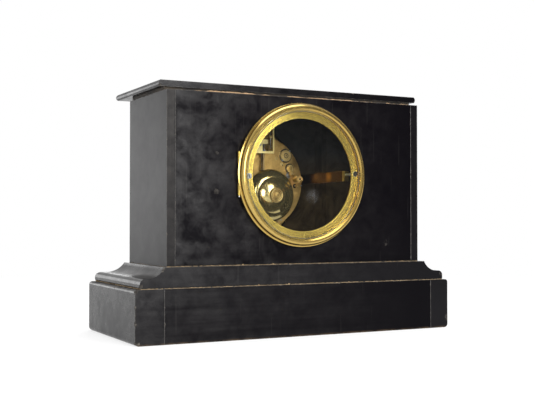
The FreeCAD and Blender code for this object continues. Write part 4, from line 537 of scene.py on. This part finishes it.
# Clear glass with a trace of dirt and a finger smear at the back. Lamps shine straight through it
glass = {"clear": (0.97, 0.98, 0.97, 1), "dirty": (0.90, 0.92, 0.90, 1), "lit": (0.96, 0.97, 0.96, 1),
         "smear": (-0.0082, 0.0712, 0.1340), "smearReach": (0.0020, 0.0085, 0.07, 0.0),
         "smearTone": (0.50, 0.50, 0.50, 1)}


def makeGlass(name):
    material, w, shader = newMaterial(name)
    dirt = w.group(mottle, PatchScale=28.0, GrainScale=500.0, Shift=0.4)["Patches"]
    shader.inputs["Transmission Weight"].default_value = 1.0
    shader.inputs["IOR"].default_value = 1.46
    w.feed(shader.inputs["Base Color"], w.blend(dirt, glass["clear"], glass["dirty"]))
    w.feed(shader.inputs["Roughness"], w.spread(dirt, 0.75, 1.0, 0.0, 0.03))
    lit = w.add("ShaderNodeBsdfTransparent", {"Color": glass["lit"]})
    ray = w.add("ShaderNodeLightPath").outputs
    through = w.most(ray["Is Shadow Ray"], ray["Is Diffuse Ray"])
    mixed = w.add("ShaderNodeMixShader", {0: through, 1: shader.outputs["BSDF"], 2: lit.outputs["BSDF"]})
    smear = w.times(w.spread(w.away(glass["smear"]), *glass["smearReach"]),
                    w.spread(w.noise(w.place(), 230.0, 4, 0.7, 0.5), 0.42, 0.62))
    haze = w.add("ShaderNodeBsdfDiffuse", {"Color": glass["smearTone"]})
    mixed = w.add("ShaderNodeMixShader", {0: smear, 1: mixed.outputs["Shader"], 2: haze.outputs["BSDF"]})
    w.feed(material.node_tree.nodes["Material Output"].inputs["Surface"], mixed.outputs["Shader"])
    return material


# figure_black also serves for the painted shade of screw slots and the painted shadows round the cocks and the
# stud
finish = {"figure_black": makeFigureBlack("figure_black")}
for maker, finishes in ((makePlaster, plaster), (makeBrass, brass), (makeSteel, steel)):
    for name, values in finishes.items():
        wearers = values.pop("wornBy", ())
        finish[name] = maker(name, **values)
        dress(finish[name], *wearers)
dress(makeEnamel("dial_enamel"), "dial")
for name in ("rear_door_glass", "front_door_glass"):
    dress(makeGlass(f"clear_{name}"), name)
print("metal, enamel and glass done")


# Turned and flat forms gathered into one mesh
class Form:
    def __init__(self):
        self.points, self.faces = [], []

    def add(self, points, faces):
        first = len(self.points)
        self.points += [Vector(p) for p in points]
        self.faces += [[first + i for i in face] for face in faces]

    # Profile points are (radius, distance along the axis), turned about an axis through the centre
    def turn(self, profile, centre, axis=(0, 1, 0), steps=48):
        axis = Vector(axis).normalized()
        side = axis.orthogonal().normalized()
        other = axis.cross(side)
        centre, count, points, faces = Vector(centre), len(profile), [], []
        for k in range(steps):
            a = 2 * math.pi * k / steps
            out = side * math.cos(a) + other * math.sin(a)
            points += [centre + out * r + axis * h for r, h in profile]
            here, there = k * count, (k + 1) % steps * count
            faces += [[here + i, here + i + 1, there + i + 1, there + i] for i in range(count - 1)]
        self.add(points, faces)

    def bar(self, start, end, across, out, width, height):
        start, end = Vector(start), Vector(end)
        a, b = Vector(across).normalized() * width / 2, Vector(out).normalized() * height
        points = [p + s * a + t * b for p in (start, end) for s, t in ((-1, 0), (1, 0), (1, 1), (-1, 1))]
        self.add(points, [[0, 1, 2, 3], [7, 6, 5, 4], [0, 4, 5, 1], [1, 5, 6, 2], [2, 6, 7, 3], [3, 7, 4, 0]])

    # A flat plate between two outlines of the same count, open underneath
    def plate(self, low, high):
        n = len(low)
        walls = [[i, (i + 1) % n, (i + 1) % n + n, i + n] for i in range(n)]
        self.add(low + high, walls + [list(range(n, 2 * n))])

    def make(self, name, look, slotName, smooth=False, body="clock_case"):
        mesh = bpy.data.meshes.new(name)
        mesh.from_pydata([tuple(p) for p in self.points], [], self.faces)
        mesh.materials.append(finish[look])
        mesh.update()
        if smooth:
            mesh.shade_smooth()
        item = bpy.data.objects.new(name, mesh)
        bpy.context.scene.collection.objects.link(item)
        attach(item, body)


# Seams of plaster: thin uneven ribbons along the joints, broken here and there. The dark ribbons among them are
# painted shadow lines
seams = {
    "width": 0.00030, "lift": 0.00010, "step": 0.0016, "uneven": 0.55,
    "kinds": {
        # width, share that is missing, lift
        "sideFoot": (1.6, 0.06, 1.0), "backFoot": (2.6, 0.03, 1.0), "endFoot": (4.2, 0.02, 1.0),
        "caseShadowLine": (2.4, 0.1, 0.3), "baseShadowLine": (2.4, 0.2, 0.3), "jointShadowLines": (2.0, 0.1, 0.4),
        "leftJoint": (1.1, 0.1, 0.5), "rightJoint": (0.5, 0.45, 0.5), "baseRight": (0.35, 0.05, 0.5),
        "baseLeft": (0.65, 0.05, 0.5), "baseFront": (0.9, 0.15, 0.5), "block": (0.8, 0.2, 0.4)},
    # Where they run, measured from the edges of the slabs
    "caseSpan": (0.0003, -0.0006), "shadowAbove": (0.0007, 0.0008), "shadowBeside": 0.0006, "endIn": 0.0010,
    "endFoot": (-0.0006, 0.0006), "backSpan": (0.0006, 0.0492), "frontSpan": (0.0045, 0.0462),
    "crumbs": ((0.0480, 0.0497, 0.0681), (0.0160, 0.0498, 0.0681), (0.0620, 0.0689, 0.0625),
               (0.0300, 0.0689, 0.0625), (-0.0510, 0.0497, 0.0681)),
    "crumb": ((0, -0.0004), (0.0006, -0.0003), (0.0011, 0.0001), (0.0007, 0.0005), (0, 0.0006)),
}


def seamRibbon(form, start, end, across, out, rng, width, gaps, lift):
    start, end = Vector(start), Vector(end)
    across, out = Vector(across).normalized(), Vector(out).normalized()
    count = max(2, int((end - start).length / seams["step"]))
    rows, faces = [], []
    for k in range(count + 1):
        middle = start.lerp(end, k / count)
        wide = seams["width"] * width * rng.uniform(1 - seams["uneven"], 1 + seams["uneven"]) / 2
        high = seams["lift"] * lift * rng.uniform(0.5, 1.5)
        drift = across * rng.uniform(-0.2, 0.2) * wide
        rows += [middle + drift - across * wide, middle + drift + out * high, middle + drift + across * wide]
    for k in range(count):
        if rng.random() < gaps:
            continue
        a, b = 3 * k, 3 * k + 3
        faces += [[a, a + 1, b + 1, b], [a + 1, a + 2, b + 2, b + 1]]
    form.add(rows, faces)


def makeSeams():
    c, s, rng = case, seams, random.Random(7)
    side, joint, back, front = c["sideHalf"], c["jointHalf"], c["back"], c["wingFront"]
    bottom, top = c["floor"] + s["caseSpan"][0], c["top"] + s["caseSpan"][1]
    brown, grey, shade = Form(), Form(), Form()
    mould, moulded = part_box("plinth_moulding")
    ends = moulded[0] - s["endIn"]

    def run(form, kind, start, end, across, out):
        seamRibbon(form, start, end, across, out, rng, *s["kinds"][kind])

    def level(form, kind, half, y, z):
        run(form, kind, (-half, y, z), (half, y, z), (0, 0, 1), (0, 1, 0))

    def upright(form, kind, x, y, low, high, out=1):
        run(form, kind, (x, y, low), (x, y, high), (1, 0, 0), (0, out, 0))

    for x in (1, -1):
        edge, floor = x * side, c["floor"]
        run(brown, "sideFoot", (edge, front, floor), (edge, back, floor), (x, 0, 0), (x, 0, 1))
        edge, floor = x * (moulded[0] + s["endFoot"][0]), c["baseTop"] + s["endFoot"][1]
        run(brown, "endFoot", (edge, mould[1], floor), (edge, moulded[1], floor), (-0.3 * x, 0, 1), (x, 0, 0.3))
    level(brown, "backFoot", side, back, c["floor"])
    level(brown, "backFoot", ends, moulded[1], c["baseTop"])
    # Dark ribbons just above the foot joints of the back and the base: painted shadow lines
    level(shade, "caseShadowLine", side, back + 0.00005, c["floor"] + s["shadowAbove"][0])
    level(shade, "baseShadowLine", ends, moulded[1], c["baseTop"] + s["shadowAbove"][1])
    for x, z, y in s["crumbs"]:
        brown.turn(s["crumb"], (x, y, z), (0.3, 1, 0.2), 9)
    # Upright joints: plain grey hairlines on the back, the ends and the base
    upright(grey, "leftJoint", -joint, back, bottom, top)
    upright(grey, "rightJoint", joint, back, bottom, top)
    # Painted shadow lines on either side of the right joint of the back
    for x in (joint - s["shadowBeside"], joint + s["shadowBeside"]):
        upright(shade, "jointShadowLines", x, back, bottom, top)
    low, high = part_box("base_back_slab")
    upright(grey, "baseRight", high[0], high[1], *s["backSpan"])
    upright(grey, "baseLeft", low[0], high[1], *s["backSpan"])
    low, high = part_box("base_front_slab")
    for x in (high[0], low[0]):
        upright(grey, "baseFront", x, low[1], *s["frontSpan"], -1)
    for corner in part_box("dial_block_front"):
        upright(grey, "block", corner[0], front, bottom, top, -1)
    brown.make("plasterSeams", "plaster_seam", "plaster")
    grey.make("plasterHairlines", "plaster_grey", "plaster")
    shade.make("paintedShadowLines", "painted_shadow_and_grease", "plaster")


# Lumps of pinkish plaster pressed out on top of the back, under the slab
squeezed = {"spans": ((-0.1290, -0.0990, 0.0012), (-0.0880, 0.0150, 0.0009), (0.0300, 0.1120, 0.0013)),
            "step": 0.0014, "depth": 0.0016, "endTall": 0.02}


def makeSqueezedPlaster():
    rng, form = random.Random(21), Form()
    y, z = case["back"], case["top"]
    for first, last, tall in squeezed["spans"]:
        count, rows, faces = int((last - first) / squeezed["step"]), [], []
        height = 0.4
        for k in range(count + 1):
            x = first + (last - first) * k / count
            height = min(1, max(0.08, height + rng.uniform(-0.35, 0.35)))
            if k in (0, count):
                height = squeezed["endTall"]
            rise, deep = tall * height, squeezed["depth"] * (0.4 + 0.6 * height)
            rows += [(x, y, z), (x, y + 0.00005, z + rise * 0.6),
                     (x, y - deep * 0.5, z + rise), (x, y - deep, z)]
            if k < count:
                a, b = 4 * k, 4 * k + 4
                faces += [[a + i, b + i, b + i + 1, a + i + 1] for i in range(3)]
        form.add(rows, faces)
    form.make("squeezedPlaster", "plaster_pink", "plaster")


makeSeams()
makeSqueezedPlaster()
print("plaster done")

# Milled rims of the two doors. The gap leaves room for the hinge
milling = {"count": 300, "depth": 0.00022, "inner": 0.0689, "outer": 0.06925, "edge": 0.00025, "gap": 0.34,
           "rearStart": case["back"] + 0.0018, "frontStart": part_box("dial_block_front")[0][1] - 0.0018,
           "span": (0.0003, 0.0031)}


def makeMilling(name, look, body, axis, near, far, hingeAngle):
    m, form, points, faces = milling, Form(), [], []
    rings = ((m["inner"], near), (m["outer"], near + m["edge"]),
             (m["outer"], far - m["edge"]), (m["inner"], far))
    skip, total = int(m["count"] * m["gap"] / math.pi), 2 * m["count"]
    for k in range(total):
        a = math.pi * k / m["count"] + hingeAngle
        for radius, y in rings:
            reach = radius - (m["depth"] if k % 2 and radius == m["outer"] else 0)
            points.append((axis[0] + reach * math.sin(a), y, axis[1] + reach * math.cos(a)))
    for k in range(skip, total - skip):
        a, b = 4 * k, 4 * ((k + 1) % total)
        faces += [[a + i, a + i + 1, b + i + 1, b + i] for i in range(3)]
    form.add(points, faces)
    form.make(name, look, "brass", body=body)


rearRim, frontRim = ([milling["rearStart"] + step for step in milling["span"]],
                     [milling["frontStart"] - step for step in reversed(milling["span"])])
makeMilling("rearDoorMilling", "gilt_rear_rings", "rear_door", doorAxis, *rearRim, math.pi / 2)
makeMilling("frontDoorMilling", "gilt_front_rings", "front_door", dialAxis, *frontRim, -math.pi / 2)

# Slotted screws, pivots in their oil sinks, and other small parts on the back plate. Profiles are
# (radius, height) pairs. Those of a screw's head and its slot are shares of its radius
fittings = {
    "cockScrews": ((-0.0340, 0.1840, 0.0011), (-0.0250, 0.1743, 0.0011), (-0.0372, 0.1600, 0.0012)),
    "bracketScrews": ((0.0120, 0.2060, 0.0014), (-0.0120, 0.2060, 0.0014)), "bracketThick": 0.0024,
    "head": ((0.96, 0), (1, 0.15), (0.97, 0.5), (0.75, 0.62), (0, 0.66)),
    "slot": (0.9, 0.26, 0.06, 0.64),  # half length, width, depth, height above the seat
    # Stop stud at the plate's edge, flat steel spring below the drop cock
    "stud": (-0.0405, 0.1472), "studKnob": ((0.0007, 0), (0.0007, 0.0030), (0.0012, 0.0038), (0.00132, 0.0046),
                                            (0.00096, 0.0056), (0, 0.0060)),
    "studShade": ((0.00228, 0.00004), (0.0007, 0.00005)),
    "blade": ((-0.0300, 0.1600), (-0.0325, 0.1625), (-0.0352, 0.1565), (-0.0338, 0.1548), (-0.0305, 0.1560)),
    "bladeLift": (0.00004, 0.00050),
    # Disc cock and drop cock: centre and radius
    "cocks": ((-0.0295, 0.1792, 0.0062), (-0.0343, 0.1658, 0.0040)),
    "cockPin": ((0.0011, 0.0015), (0.0011, 0.0018), (0.0006, 0.0019), (0, 0.0018)),
    "pivots": ((0.0149, 0.1556), (-0.0013, 0.1648), (0, 0.1749), (-0.0185, 0.1561), (-0.0250, 0.1700),
               (-0.0239, 0.1812), (-0.0186, 0.1759), (0, 0.1505), (0.020, 0.1345), (-0.020, 0.1345)),
    "oilSink": ((0.0019, 0.00003), (0.0016, 0.00012), (0.0012, 0.00003), (0.0008, 0.00002)),
    "pivot": ((0.0006, -0.0002), (0.0006, 0.0001), (0.0004, 0.0002), (0, 0.00024)),
}


# The slot of a screw that faces back, drawn as a thin black bar on its head: painted shade in the slot
def cutSlot(form, middle, turn, half, width, depth):
    along = Vector((math.cos(turn), 0, math.sin(turn)))
    form.bar(middle - along * half, middle + along * half, (-along.z, 0, along.x), (0, 1, 0), width, depth)


def makePlateFittings():
    f, (heads, slots, sinks, gaps) = fittings, (Form() for _ in range(4))
    plateBack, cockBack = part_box("back_plate")[1][1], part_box("plate_cocks_and_lugs")[1][1]
    seated = [(screw, cockBack) for screw in f["cockScrews"]]
    seated += [(screw, plateBack + f["bracketThick"]) for screw in f["bracketScrews"]]
    for i, ((x, z, radius), y) in enumerate(seated):
        heads.turn([(radius * r, radius * h) for r, h in f["head"]], (x, y, z), steps=28)
        half, width, depth, height = (radius * share for share in f["slot"])
        cutSlot(slots, Vector((x, y + height, z)), 0.6 + i, half, width, depth)
    for x, z in f["pivots"]:
        sinks.turn(f["oilSink"], (x, plateBack, z), steps=28)
        sinks.turn(f["pivot"], (x, plateBack, z), steps=20)
    (x, z, wide), (a, b, tip) = f["cocks"]
    disc, drop, (p, q) = (x, plateBack, z), (a, plateBack, b), f["stud"]
    # Painted shadows: dark rings on the plate round the disc cock and the drop cock
    gaps.turn([(wide, 0.00004), (wide + 0.0012, 0.00004)], disc, steps=56)
    gaps.turn([(tip, 0.00005), (tip + 0.0011, 0.00005)], drop, steps=48)
    gaps.turn([(0.0020, 0.00153), (0.0027, 0.00153)], disc, steps=32)
    sinks.turn([(wide, 0.0012), (wide + 0.0001, 0.0014), (wide - 0.0004, 0.00165), (wide - 0.0009, 0.0014)],
               disc, steps=56)
    sinks.turn(f["cockPin"], disc, steps=24)
    gaps.turn([(0.0006, 0.00192), (0, 0.00194)], disc, steps=20)
    sinks.turn(f["studKnob"], (p, plateBack, q), steps=28)
    # Painted shadow under the stop stud
    gaps.turn(f["studShade"], (p, plateBack, q), steps=24)
    heads.plate(*([(a, plateBack + lift, b) for a, b in f["blade"]] for lift in f["bladeLift"]))
    gaps.make("cockShadows", "figure_black", "brass")
    heads.make("plateScrews", "ground_steel", "steel", True)
    slots.make("plateScrewSlots", "figure_black", "steel")
    sinks.make("pivotSinks", "fitting_brass", "brass", True)


makePlateFittings()

# Hammer: leather pad in the head's end, bands turned into the head, and the collar that clamps its wire
hammer = {
    "head": (-0.0343, 0.1535), "radius": 0.0032, "long": 0.0110,
    "pad": ((0.0011, 0), (0.0011, 0.00018), (0.00077, 0.00032), (0, 0.00036)),
    "bands": (-0.0098, -0.0014, -0.0021),  # from the far end
    "band": ((-0.00005, -0.0003), (0.00022, -0.00015), (0.00022, 0.00015), (-0.00005, 0.0003)),
    "collarAt": 0.0030, "collar": ((0.0007, -0.0012), (0.0014, -0.001), (0.0014, 0.001), (0.0007, 0.0012)),
}


def makeHammerParts():
    h, pad, bands = hammer, Form(), Form()
    (x, z), far = h["head"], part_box("hammer")[1][1]
    pad.turn(h["pad"], (x, far, z), steps=24)
    pad.make("hammerPad", "figure_black", "steel", True, body="hammer_group")
    for step in h["bands"]:
        bands.turn([(h["radius"] + r, along) for r, along in h["band"]], (x, far + step, z), steps=36)
    bands.turn(h["collar"], (x, far - h["long"] + h["collarAt"], z + h["radius"]), (0, 0, 1), 20)
    bands.make("hammerBands", "fitting_brass", "brass", True, body="hammer_group")


makeHammerParts()

# Bell nut: rings and grooves turned into its face as outer and inner radius, a button, a punched centre. The
# grooves and the punched centre are dark flat rings and a dot of painted shade
bell = {
    "step": 0.0012, "ringTall": 0.00022,
    "rings": ((0.0066, 0.0058), (0.0050, 0.0044)), "topRing": (0.0026, 0.0021),
    "button": ((0.0019, -0.0002), (0.0018, 0.0003), (0.0008, 0.0005), (0, 0.0002)),
    "grooves": ((0.0071, 0.0067), (0.0056, 0.0051), (0.0041, 0.0036)), "grooveLift": 0.00004,
    "punch": ((0.0006, 0.00053), (0, 0.00055)),
}


def makeBellRings():
    form, paintedShade, face = Form(), Form(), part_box("bell_stand")[1][1]
    top, step = ((bellAxis[0], y, bellAxis[1]) for y in (face, face - bell["step"]))
    for (outer, inner), centre in ((bell["rings"][0], step), (bell["rings"][1], step), (bell["topRing"], top)):
        form.turn([(outer, 0), ((outer + inner) / 2, bell["ringTall"]), (inner, 0)], centre, steps=56)
    form.turn(bell["button"], top, steps=32)
    form.make("bellNutRings", "bell_nut_brass", "brass", True)
    # Grooves and punched centre: dark flat rings and a dot, painted shade
    for groove in bell["grooves"]:
        paintedShade.turn([(radius, bell["grooveLift"]) for radius in groove], step, steps=56)
    paintedShade.turn(bell["punch"], top, steps=20)
    paintedShade.make("bellNutGrooves", "chop_brass", "brass")


makeBellRings()

# Line of grey putty that beds each glass against the bead: radius and height
putty = ((0.0613, 0.0), (0.0611, 0.0002), (0.0608, 0.0002), (0.0606, 0.0))


def makePutty(name, body, axis, y, way):
    form = Form()
    form.turn([(radius, way * high) for radius, high in putty], (axis[0], y, axis[1]), steps=160)
    form.make(name, "putty_grey", "plaster", True, body=body)


makePutty("rearGlassPutty", "rear_door", doorAxis, 0.0712, 1)
makePutty("frontGlassPutty", "front_door", dialAxis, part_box("front_door_glass")[0][1], -1)

# A small catch on the free side of each door: a flat tab with rounded corners on the rim, and its pin
catch = {
    "reach": 0.0668, "above": 0.0102, "off": 0.0001, "thick": 0.0007, "taper": (0.85, 0.93),
    "outline": ((-0.0009, -0.0030), (0.0006, -0.0030), (0.0011, -0.0025), (0.0011, 0.0025), (0.0006, 0.0030),
                (-0.0009, 0.0030)),
    "pin": ((0.0005, 0), (0.0005, 0.0004), (0.0003, 0.0006), (0, 0.0006)),
}


def makeCatch(name, look, body, axis, side, y, way):
    c, form = catch, Form()
    x, z, (narrow, short) = axis[0] + side * c["reach"], axis[1] + c["above"], c["taper"]
    top = y + way * c["thick"]
    form.plate([(x + side * a, y, z + b) for a, b in c["outline"]],
               [(x + side * a * narrow, top, z + b * short) for a, b in c["outline"]])
    form.turn(c["pin"], (x, top, z), (0, way, 0), 16)
    form.make(name, look, "brass", body=body)


makeCatch("rearDoorCatch", "gilt_rear_rings", "rear_door", doorAxis, -1, rearRim[1] + catch["off"], 1)
makeCatch("frontDoorCatch", "gilt_front_rings", "front_door", dialAxis, 1, frontRim[0] - catch["off"], -1)

# Slots of the two screws in the rear ring, one of them filled with black grease
ringScrews = {"places": ((0.0583, 0.15215), (-0.0583, 0.15645)), "top": 0.0682, "turn": 1.25,
              "half": 0.0023, "width": 0.0008, "depth": 0.00005,
              "grease": ((0.0025, 0.00002), (0.0023, 0.00012), (0.0012, 0.00016), (0, 0.00018))}


def makeRingScrews():
    r, slots, grease = ringScrews, Form(), Form()
    for x, z in r["places"]:
        cutSlot(slots, Vector((x, r["top"], z)), r["turn"], r["half"], r["width"], r["depth"])
    x, z = r["places"][1]
    grease.turn(r["grease"], (x, r["top"], z), steps=26)
    slots.make("ringScrewSlots", "figure_black", "steel")
    grease.make("ringScrewGrease", "painted_shadow_and_grease", "steel", True)


makeRingScrews()
print("small brass parts done")

# Figures of the dial: Roman numerals, a minute track and brass eyelets
dial = {
    "face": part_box("dial")[0][1], "lift": 0.00004, "figureInner": 0.0385, "figureTall": 0.0112,
    "thick": 0.0017, "thin": 0.0005, "serif": 0.0004, "serifIn": 0.0002, "leanIn": 0.0012,
    "numerals": ("XII", "I", "II", "III", "IIII", "V", "VI", "VII", "VIII", "IX", "X", "XI"),
    "letterWide": {"I": 0.0037, "V": 0.0080, "X": 0.0082},
    "track": ((0.0533, 0.0535), (0.0560, 0.0563)), "trackSteps": 180, "minute": 0.00018, "fifthMinute": 0.00055,
    # Winding holes and centre hole: X, Z, bore and outside radius
    "eyelets": ((0.020, 0.1345, 0.0039, 0.0053), (-0.020, 0.1345, 0.0039, 0.0053),
                (0, dialAxis[1], 0.0030, 0.0044)),
    "rimBead": ((0.0572, 0), (0.0575, -0.0005), (0.0582, -0.0007), (0.0592, -0.0004), (0.0598, 0)),
}


# Four corners of each stroke, across the letter and up from its foot
def letterStrokes(letter):
    d, tall = dial, dial["figureTall"]
    thick, thin, serif, wide = d["thick"] / 2, d["thin"] / 2, d["serif"], d["letterWide"][letter] / 2
    if letter == "I":
        wide -= d["serifIn"]
        return [((-thick, 0), (thick, 0), (thick, tall), (-thick, tall)),
                ((-wide, 0), (wide, 0), (wide, serif), (-wide, serif)),
                ((-wide, -serif), (wide, -serif), (wide, 0), (-wide, 0))]
    lean = wide - d["leanIn"]
    heavy, light = [(-lean - thick, tall), (-lean + thick, tall)], [(lean - thin, tall), (lean + thin, tall)]
    if letter == "X":
        return [heavy + [(lean + thick, 0), (lean - thick, 0)], light + [(-lean + thin, 0), (-lean - thin, 0)]]
    return [heavy + [(thick, 0), (-thick, 0)], light + [(2 * thin, 0), (0, 0)]]


def makeDialFigures():
    d, form, eyelets = dial, Form(), Form()
    inner, serif = d["figureInner"], d["serif"]

    def onDial(angle, across, reach):
        s, c = math.sin(angle), math.cos(angle)
        x, z = reach * s + across * c, reach * c - across * s
        return (dialAxis[0] + x, d["face"] - d["lift"], dialAxis[1] + z)

    def quad(angle, corners):
        form.add([onDial(angle, across, reach) for across, reach in corners], [[0, 1, 2, 3]])

    for hour, word in enumerate(d["numerals"]):
        angle = math.pi * hour / 6
        half = sum(d["letterWide"][letter] for letter in word) / 2
        start = -half
        for letter in word:
            middle = start + d["letterWide"][letter] / 2
            start += d["letterWide"][letter]
            for stroke in letterStrokes(letter):
                quad(angle, [(middle + across, inner + tall) for across, tall in stroke])
        for foot in (inner - serif / 2, inner + d["figureTall"] - serif / 2):
            quad(angle, ((-half, foot), (half, foot), (half, foot + serif), (-half, foot + serif)))
    for edges in d["track"]:
        n = d["trackSteps"]
        points = [onDial(2 * math.pi * k / n, 0, r) for k in range(n) for r in edges]
        form.add(points, [[2 * k, 2 * k + 1, (2 * k + 3) % (2 * n), (2 * k + 2) % (2 * n)] for k in range(n)])
    low, high = d["track"][0][1], d["track"][1][0]
    for minute in range(60):
        wide = d["fifthMinute"] if minute % 5 == 0 else d["minute"]
        quad(math.pi * minute / 30, ((-wide, low), (wide, low), (wide, high), (-wide, high)))
    form.make("dialFigures", "figure_black", "enamel")
    for x, z, bore, wide in d["eyelets"]:
        eyelets.turn([(bore, 0.0004), (bore, -0.0003), (bore + 0.0003, -0.00055), (wide - 0.0003, -0.00045),
                      (wide, 0)], (x, d["face"], z), steps=48)
    eyelets.turn(d["rimBead"], (dialAxis[0], d["face"], dialAxis[1]), steps=144)
    eyelets.make("dialEyelets", "gilt_front_rings", "brass", True)


makeDialFigures()
print("dial done")

# Suspension: chops and rail in the bracket's window, and the heads of its screws
suspension = {
    # Each chop: left, right, bottom, top and thickness
    "chops": ((-0.0078, -0.0030, 0.1826, 0.2080, 0.0009), (-0.0030, 0.0031, 0.1945, 0.2080, 0.0007)),
    "rail": {"x": -0.0050, "out": 0.0009, "low": 0.1850, "high": 0.2060, "width": 0.0008, "thick": 0.0005},
    "thumb": (0.0064, 0.1890), "thumbHead": ((0.0014, 0), (0.0015, 0.0003), (0.0012, 0.0006), (0, 0.0007)),
    "screws": ((0.0064, 0.2075), (-0.0064, 0.2100)),
    "screwHead": ((0.0010, 0), (0.0011, 0.0002), (0.0009, 0.0006), (0, 0.0007)),
    "adjuster": (-0.0052, 0.1975),
    "adjusterHead": ((0.0015, 0.0009), (0.0016, 0.0013), (0.0011, 0.0017), (0, 0.0018)),
    "button": (0.0002, 0.2030), "buttonHead": ((0.0009, 0.0007), (0.0009, 0.0011), (0, 0.0012)),
}


def makeSuspensionParts():
    sus, form, dark, gold = suspension, Form(), Form(), Form()
    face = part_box("suspension_bracket")[1][1]

    def upright(where, x, y, low, high, width, thick):
        where.bar((x, y, low), (x, y, high), (1, 0, 0), (0, 1, 0), width, thick)

    def headAt(where, place, profile, steps):
        where.turn(profile, (place[0], face, place[1]), steps=steps)

    for left, right, low, high, thick in sus["chops"]:
        upright(dark, (left + right) / 2, face, low, high, right - left, thick)
    r = sus["rail"]
    upright(form, r["x"], face + r["out"], r["low"], r["high"], r["width"], r["thick"])
    headAt(form, sus["thumb"], sus["thumbHead"], 30)
    for place in sus["screws"]:
        headAt(form, place, sus["screwHead"], 24)
    headAt(gold, sus["adjuster"], sus["adjusterHead"], 24)
    headAt(gold, sus["button"], sus["buttonHead"], 20)
    form.make("suspensionScrews", "ground_steel", "steel", True)
    dark.make("suspensionChops", "chop_brass", "brass")
    gold.make("suspensionAdjuster", "fitting_brass", "brass", True)


makeSuspensionParts()

# Camera at the photograph's place, behind the clock and to its right
view = {"place": (0.44265, 0.85857, 0.11123), "ahead": (-0.45481, -0.89036, 0.02094), "lens": 63.42}


def makeCamera():
    lens = bpy.data.cameras.new("photoCamera")
    lens.sensor_width, lens.lens = 36, view["lens"]
    lens.clip_start, lens.clip_end = 0.02, 30
    camera = bpy.data.objects.new("photoCamera", lens)
    camera.location = view["place"]
    camera.rotation_mode = "QUATERNION"
    camera.rotation_quaternion = Vector(view["ahead"]).to_track_quat("-Z", "Y")
    bpy.context.scene.collection.objects.link(camera)
    bpy.context.scene.camera = camera


# Soft lamps of a small white studio, all aimed at one point of the clock
lamps = {
    "leftSoftbox": {"place": (0.57, 1.02, 0.36), "size": (0.34, 0.50), "power": 5.0},
    "rearSoftbox": {"place": (-0.17, 1.30, 0.28), "size": (0.46, 0.85), "power": 4.8},
    "highSoftbox": {"place": (-0.17, 1.15, 0.72), "size": (0.46, 0.60), "power": 6.5},
    "sideSoftbox": {"place": (0.62, -1.30, 0.16), "size": (0.60, 0.60), "power": 3.0},
    "overhead": {"place": (0.0, 0.05, 1.20), "size": (1.0, 0.7), "power": 8},
    "frontSoftbox": {"place": (-0.45, -0.95, 0.65), "size": (0.7, 0.7), "power": 8},
}
aim = Vector((0, 0, 0.13))


def makeLamps():
    for name, lamp in lamps.items():
        light = bpy.data.lights.new(name, "AREA")
        light.shape = "RECTANGLE"
        light.size, light.size_y = lamp["size"]
        light.energy = lamp["power"]
        item = bpy.data.objects.new(name, light)
        item.location = lamp["place"]
        item.rotation_euler = (aim - Vector(lamp["place"])).to_track_quat("-Z", "Y").to_euler()
        bpy.context.scene.collection.objects.link(item)


# White all round for the camera. What reflects sees it dimmer on the camera's own side
surround = {"fill": 0.45, "bright": 1.0, "dim": 0.11, "lean": 0.35, "fade": (-0.9, 0.6)}


def makeSurround():
    world = bpy.data.worlds.new("studio")
    bpy.context.scene.world = world
    world.use_nodes = True
    w = Wires(world.node_tree)
    ray = w.add("ShaderNodeLightPath").outputs
    x, y, z = w.split(w.add("ShaderNodeTexCoord").outputs["Generated"])
    ahead = w.minus(w.times(x, surround["lean"]), y)
    reflected = w.spread(ahead, *surround["fade"], surround["dim"], surround["bright"])
    shown = w.most(w.most(ray["Is Camera Ray"], ray["Is Transmission Ray"]), ray["Is Glossy Ray"])
    back = world.node_tree.nodes["Background"]
    w.feed(back.inputs["Strength"],
           w.between(shown, surround["fill"], w.between(ray["Is Glossy Ray"], 1.0, reflected)))
    back.inputs["Color"].default_value = (1, 1, 1, 1)


# White floor. What the camera sees of it glows, so that it meets the white beyond it
ground = {"reach": 3.0, "sides": 64, "tone": (0.80, 0.80, 0.80, 1), "seenTone": (0.30, 0.30, 0.30, 1),
          "glow": 0.72, "fade": (0.45, 1.0)}


def makeGround():
    g = ground
    turns = [2 * math.pi * k / g["sides"] for k in range(g["sides"])]
    mesh = bpy.data.meshes.new("studioFloor")
    mesh.from_pydata([(g["reach"] * math.cos(a), g["reach"] * math.sin(a), 0) for a in turns], [],
                     [list(range(g["sides"]))])
    floor = bpy.data.objects.new("studioFloor", mesh)
    bpy.context.scene.collection.objects.link(floor)
    material, w, shader = newMaterial("white_floor")
    ray = w.add("ShaderNodeLightPath").outputs
    shown = w.most(w.most(ray["Is Camera Ray"], ray["Is Transmission Ray"]), ray["Is Glossy Ray"])
    away = w.spread(w.vector("LENGTH", w.place()), *g["fade"])
    w.feed(shader.inputs["Base Color"], w.blend(shown, g["tone"], w.blend(away, g["seenTone"], (0, 0, 0, 1))))
    shader.inputs["Roughness"].default_value = 0.9
    shader.inputs["Specular IOR Level"].default_value = 0.0
    shader.inputs["Emission Color"].default_value = (1, 1, 1, 1)
    w.feed(shader.inputs["Emission Strength"], w.times(shown, w.spread(away, 0.0, 1.0, g["glow"], 1.0)))
    mesh.materials.append(material)


makeCamera()
makeLamps()
makeSurround()
makeGround()
bpy.context.scene.view_settings.view_transform = "Standard"
print("studio ready")
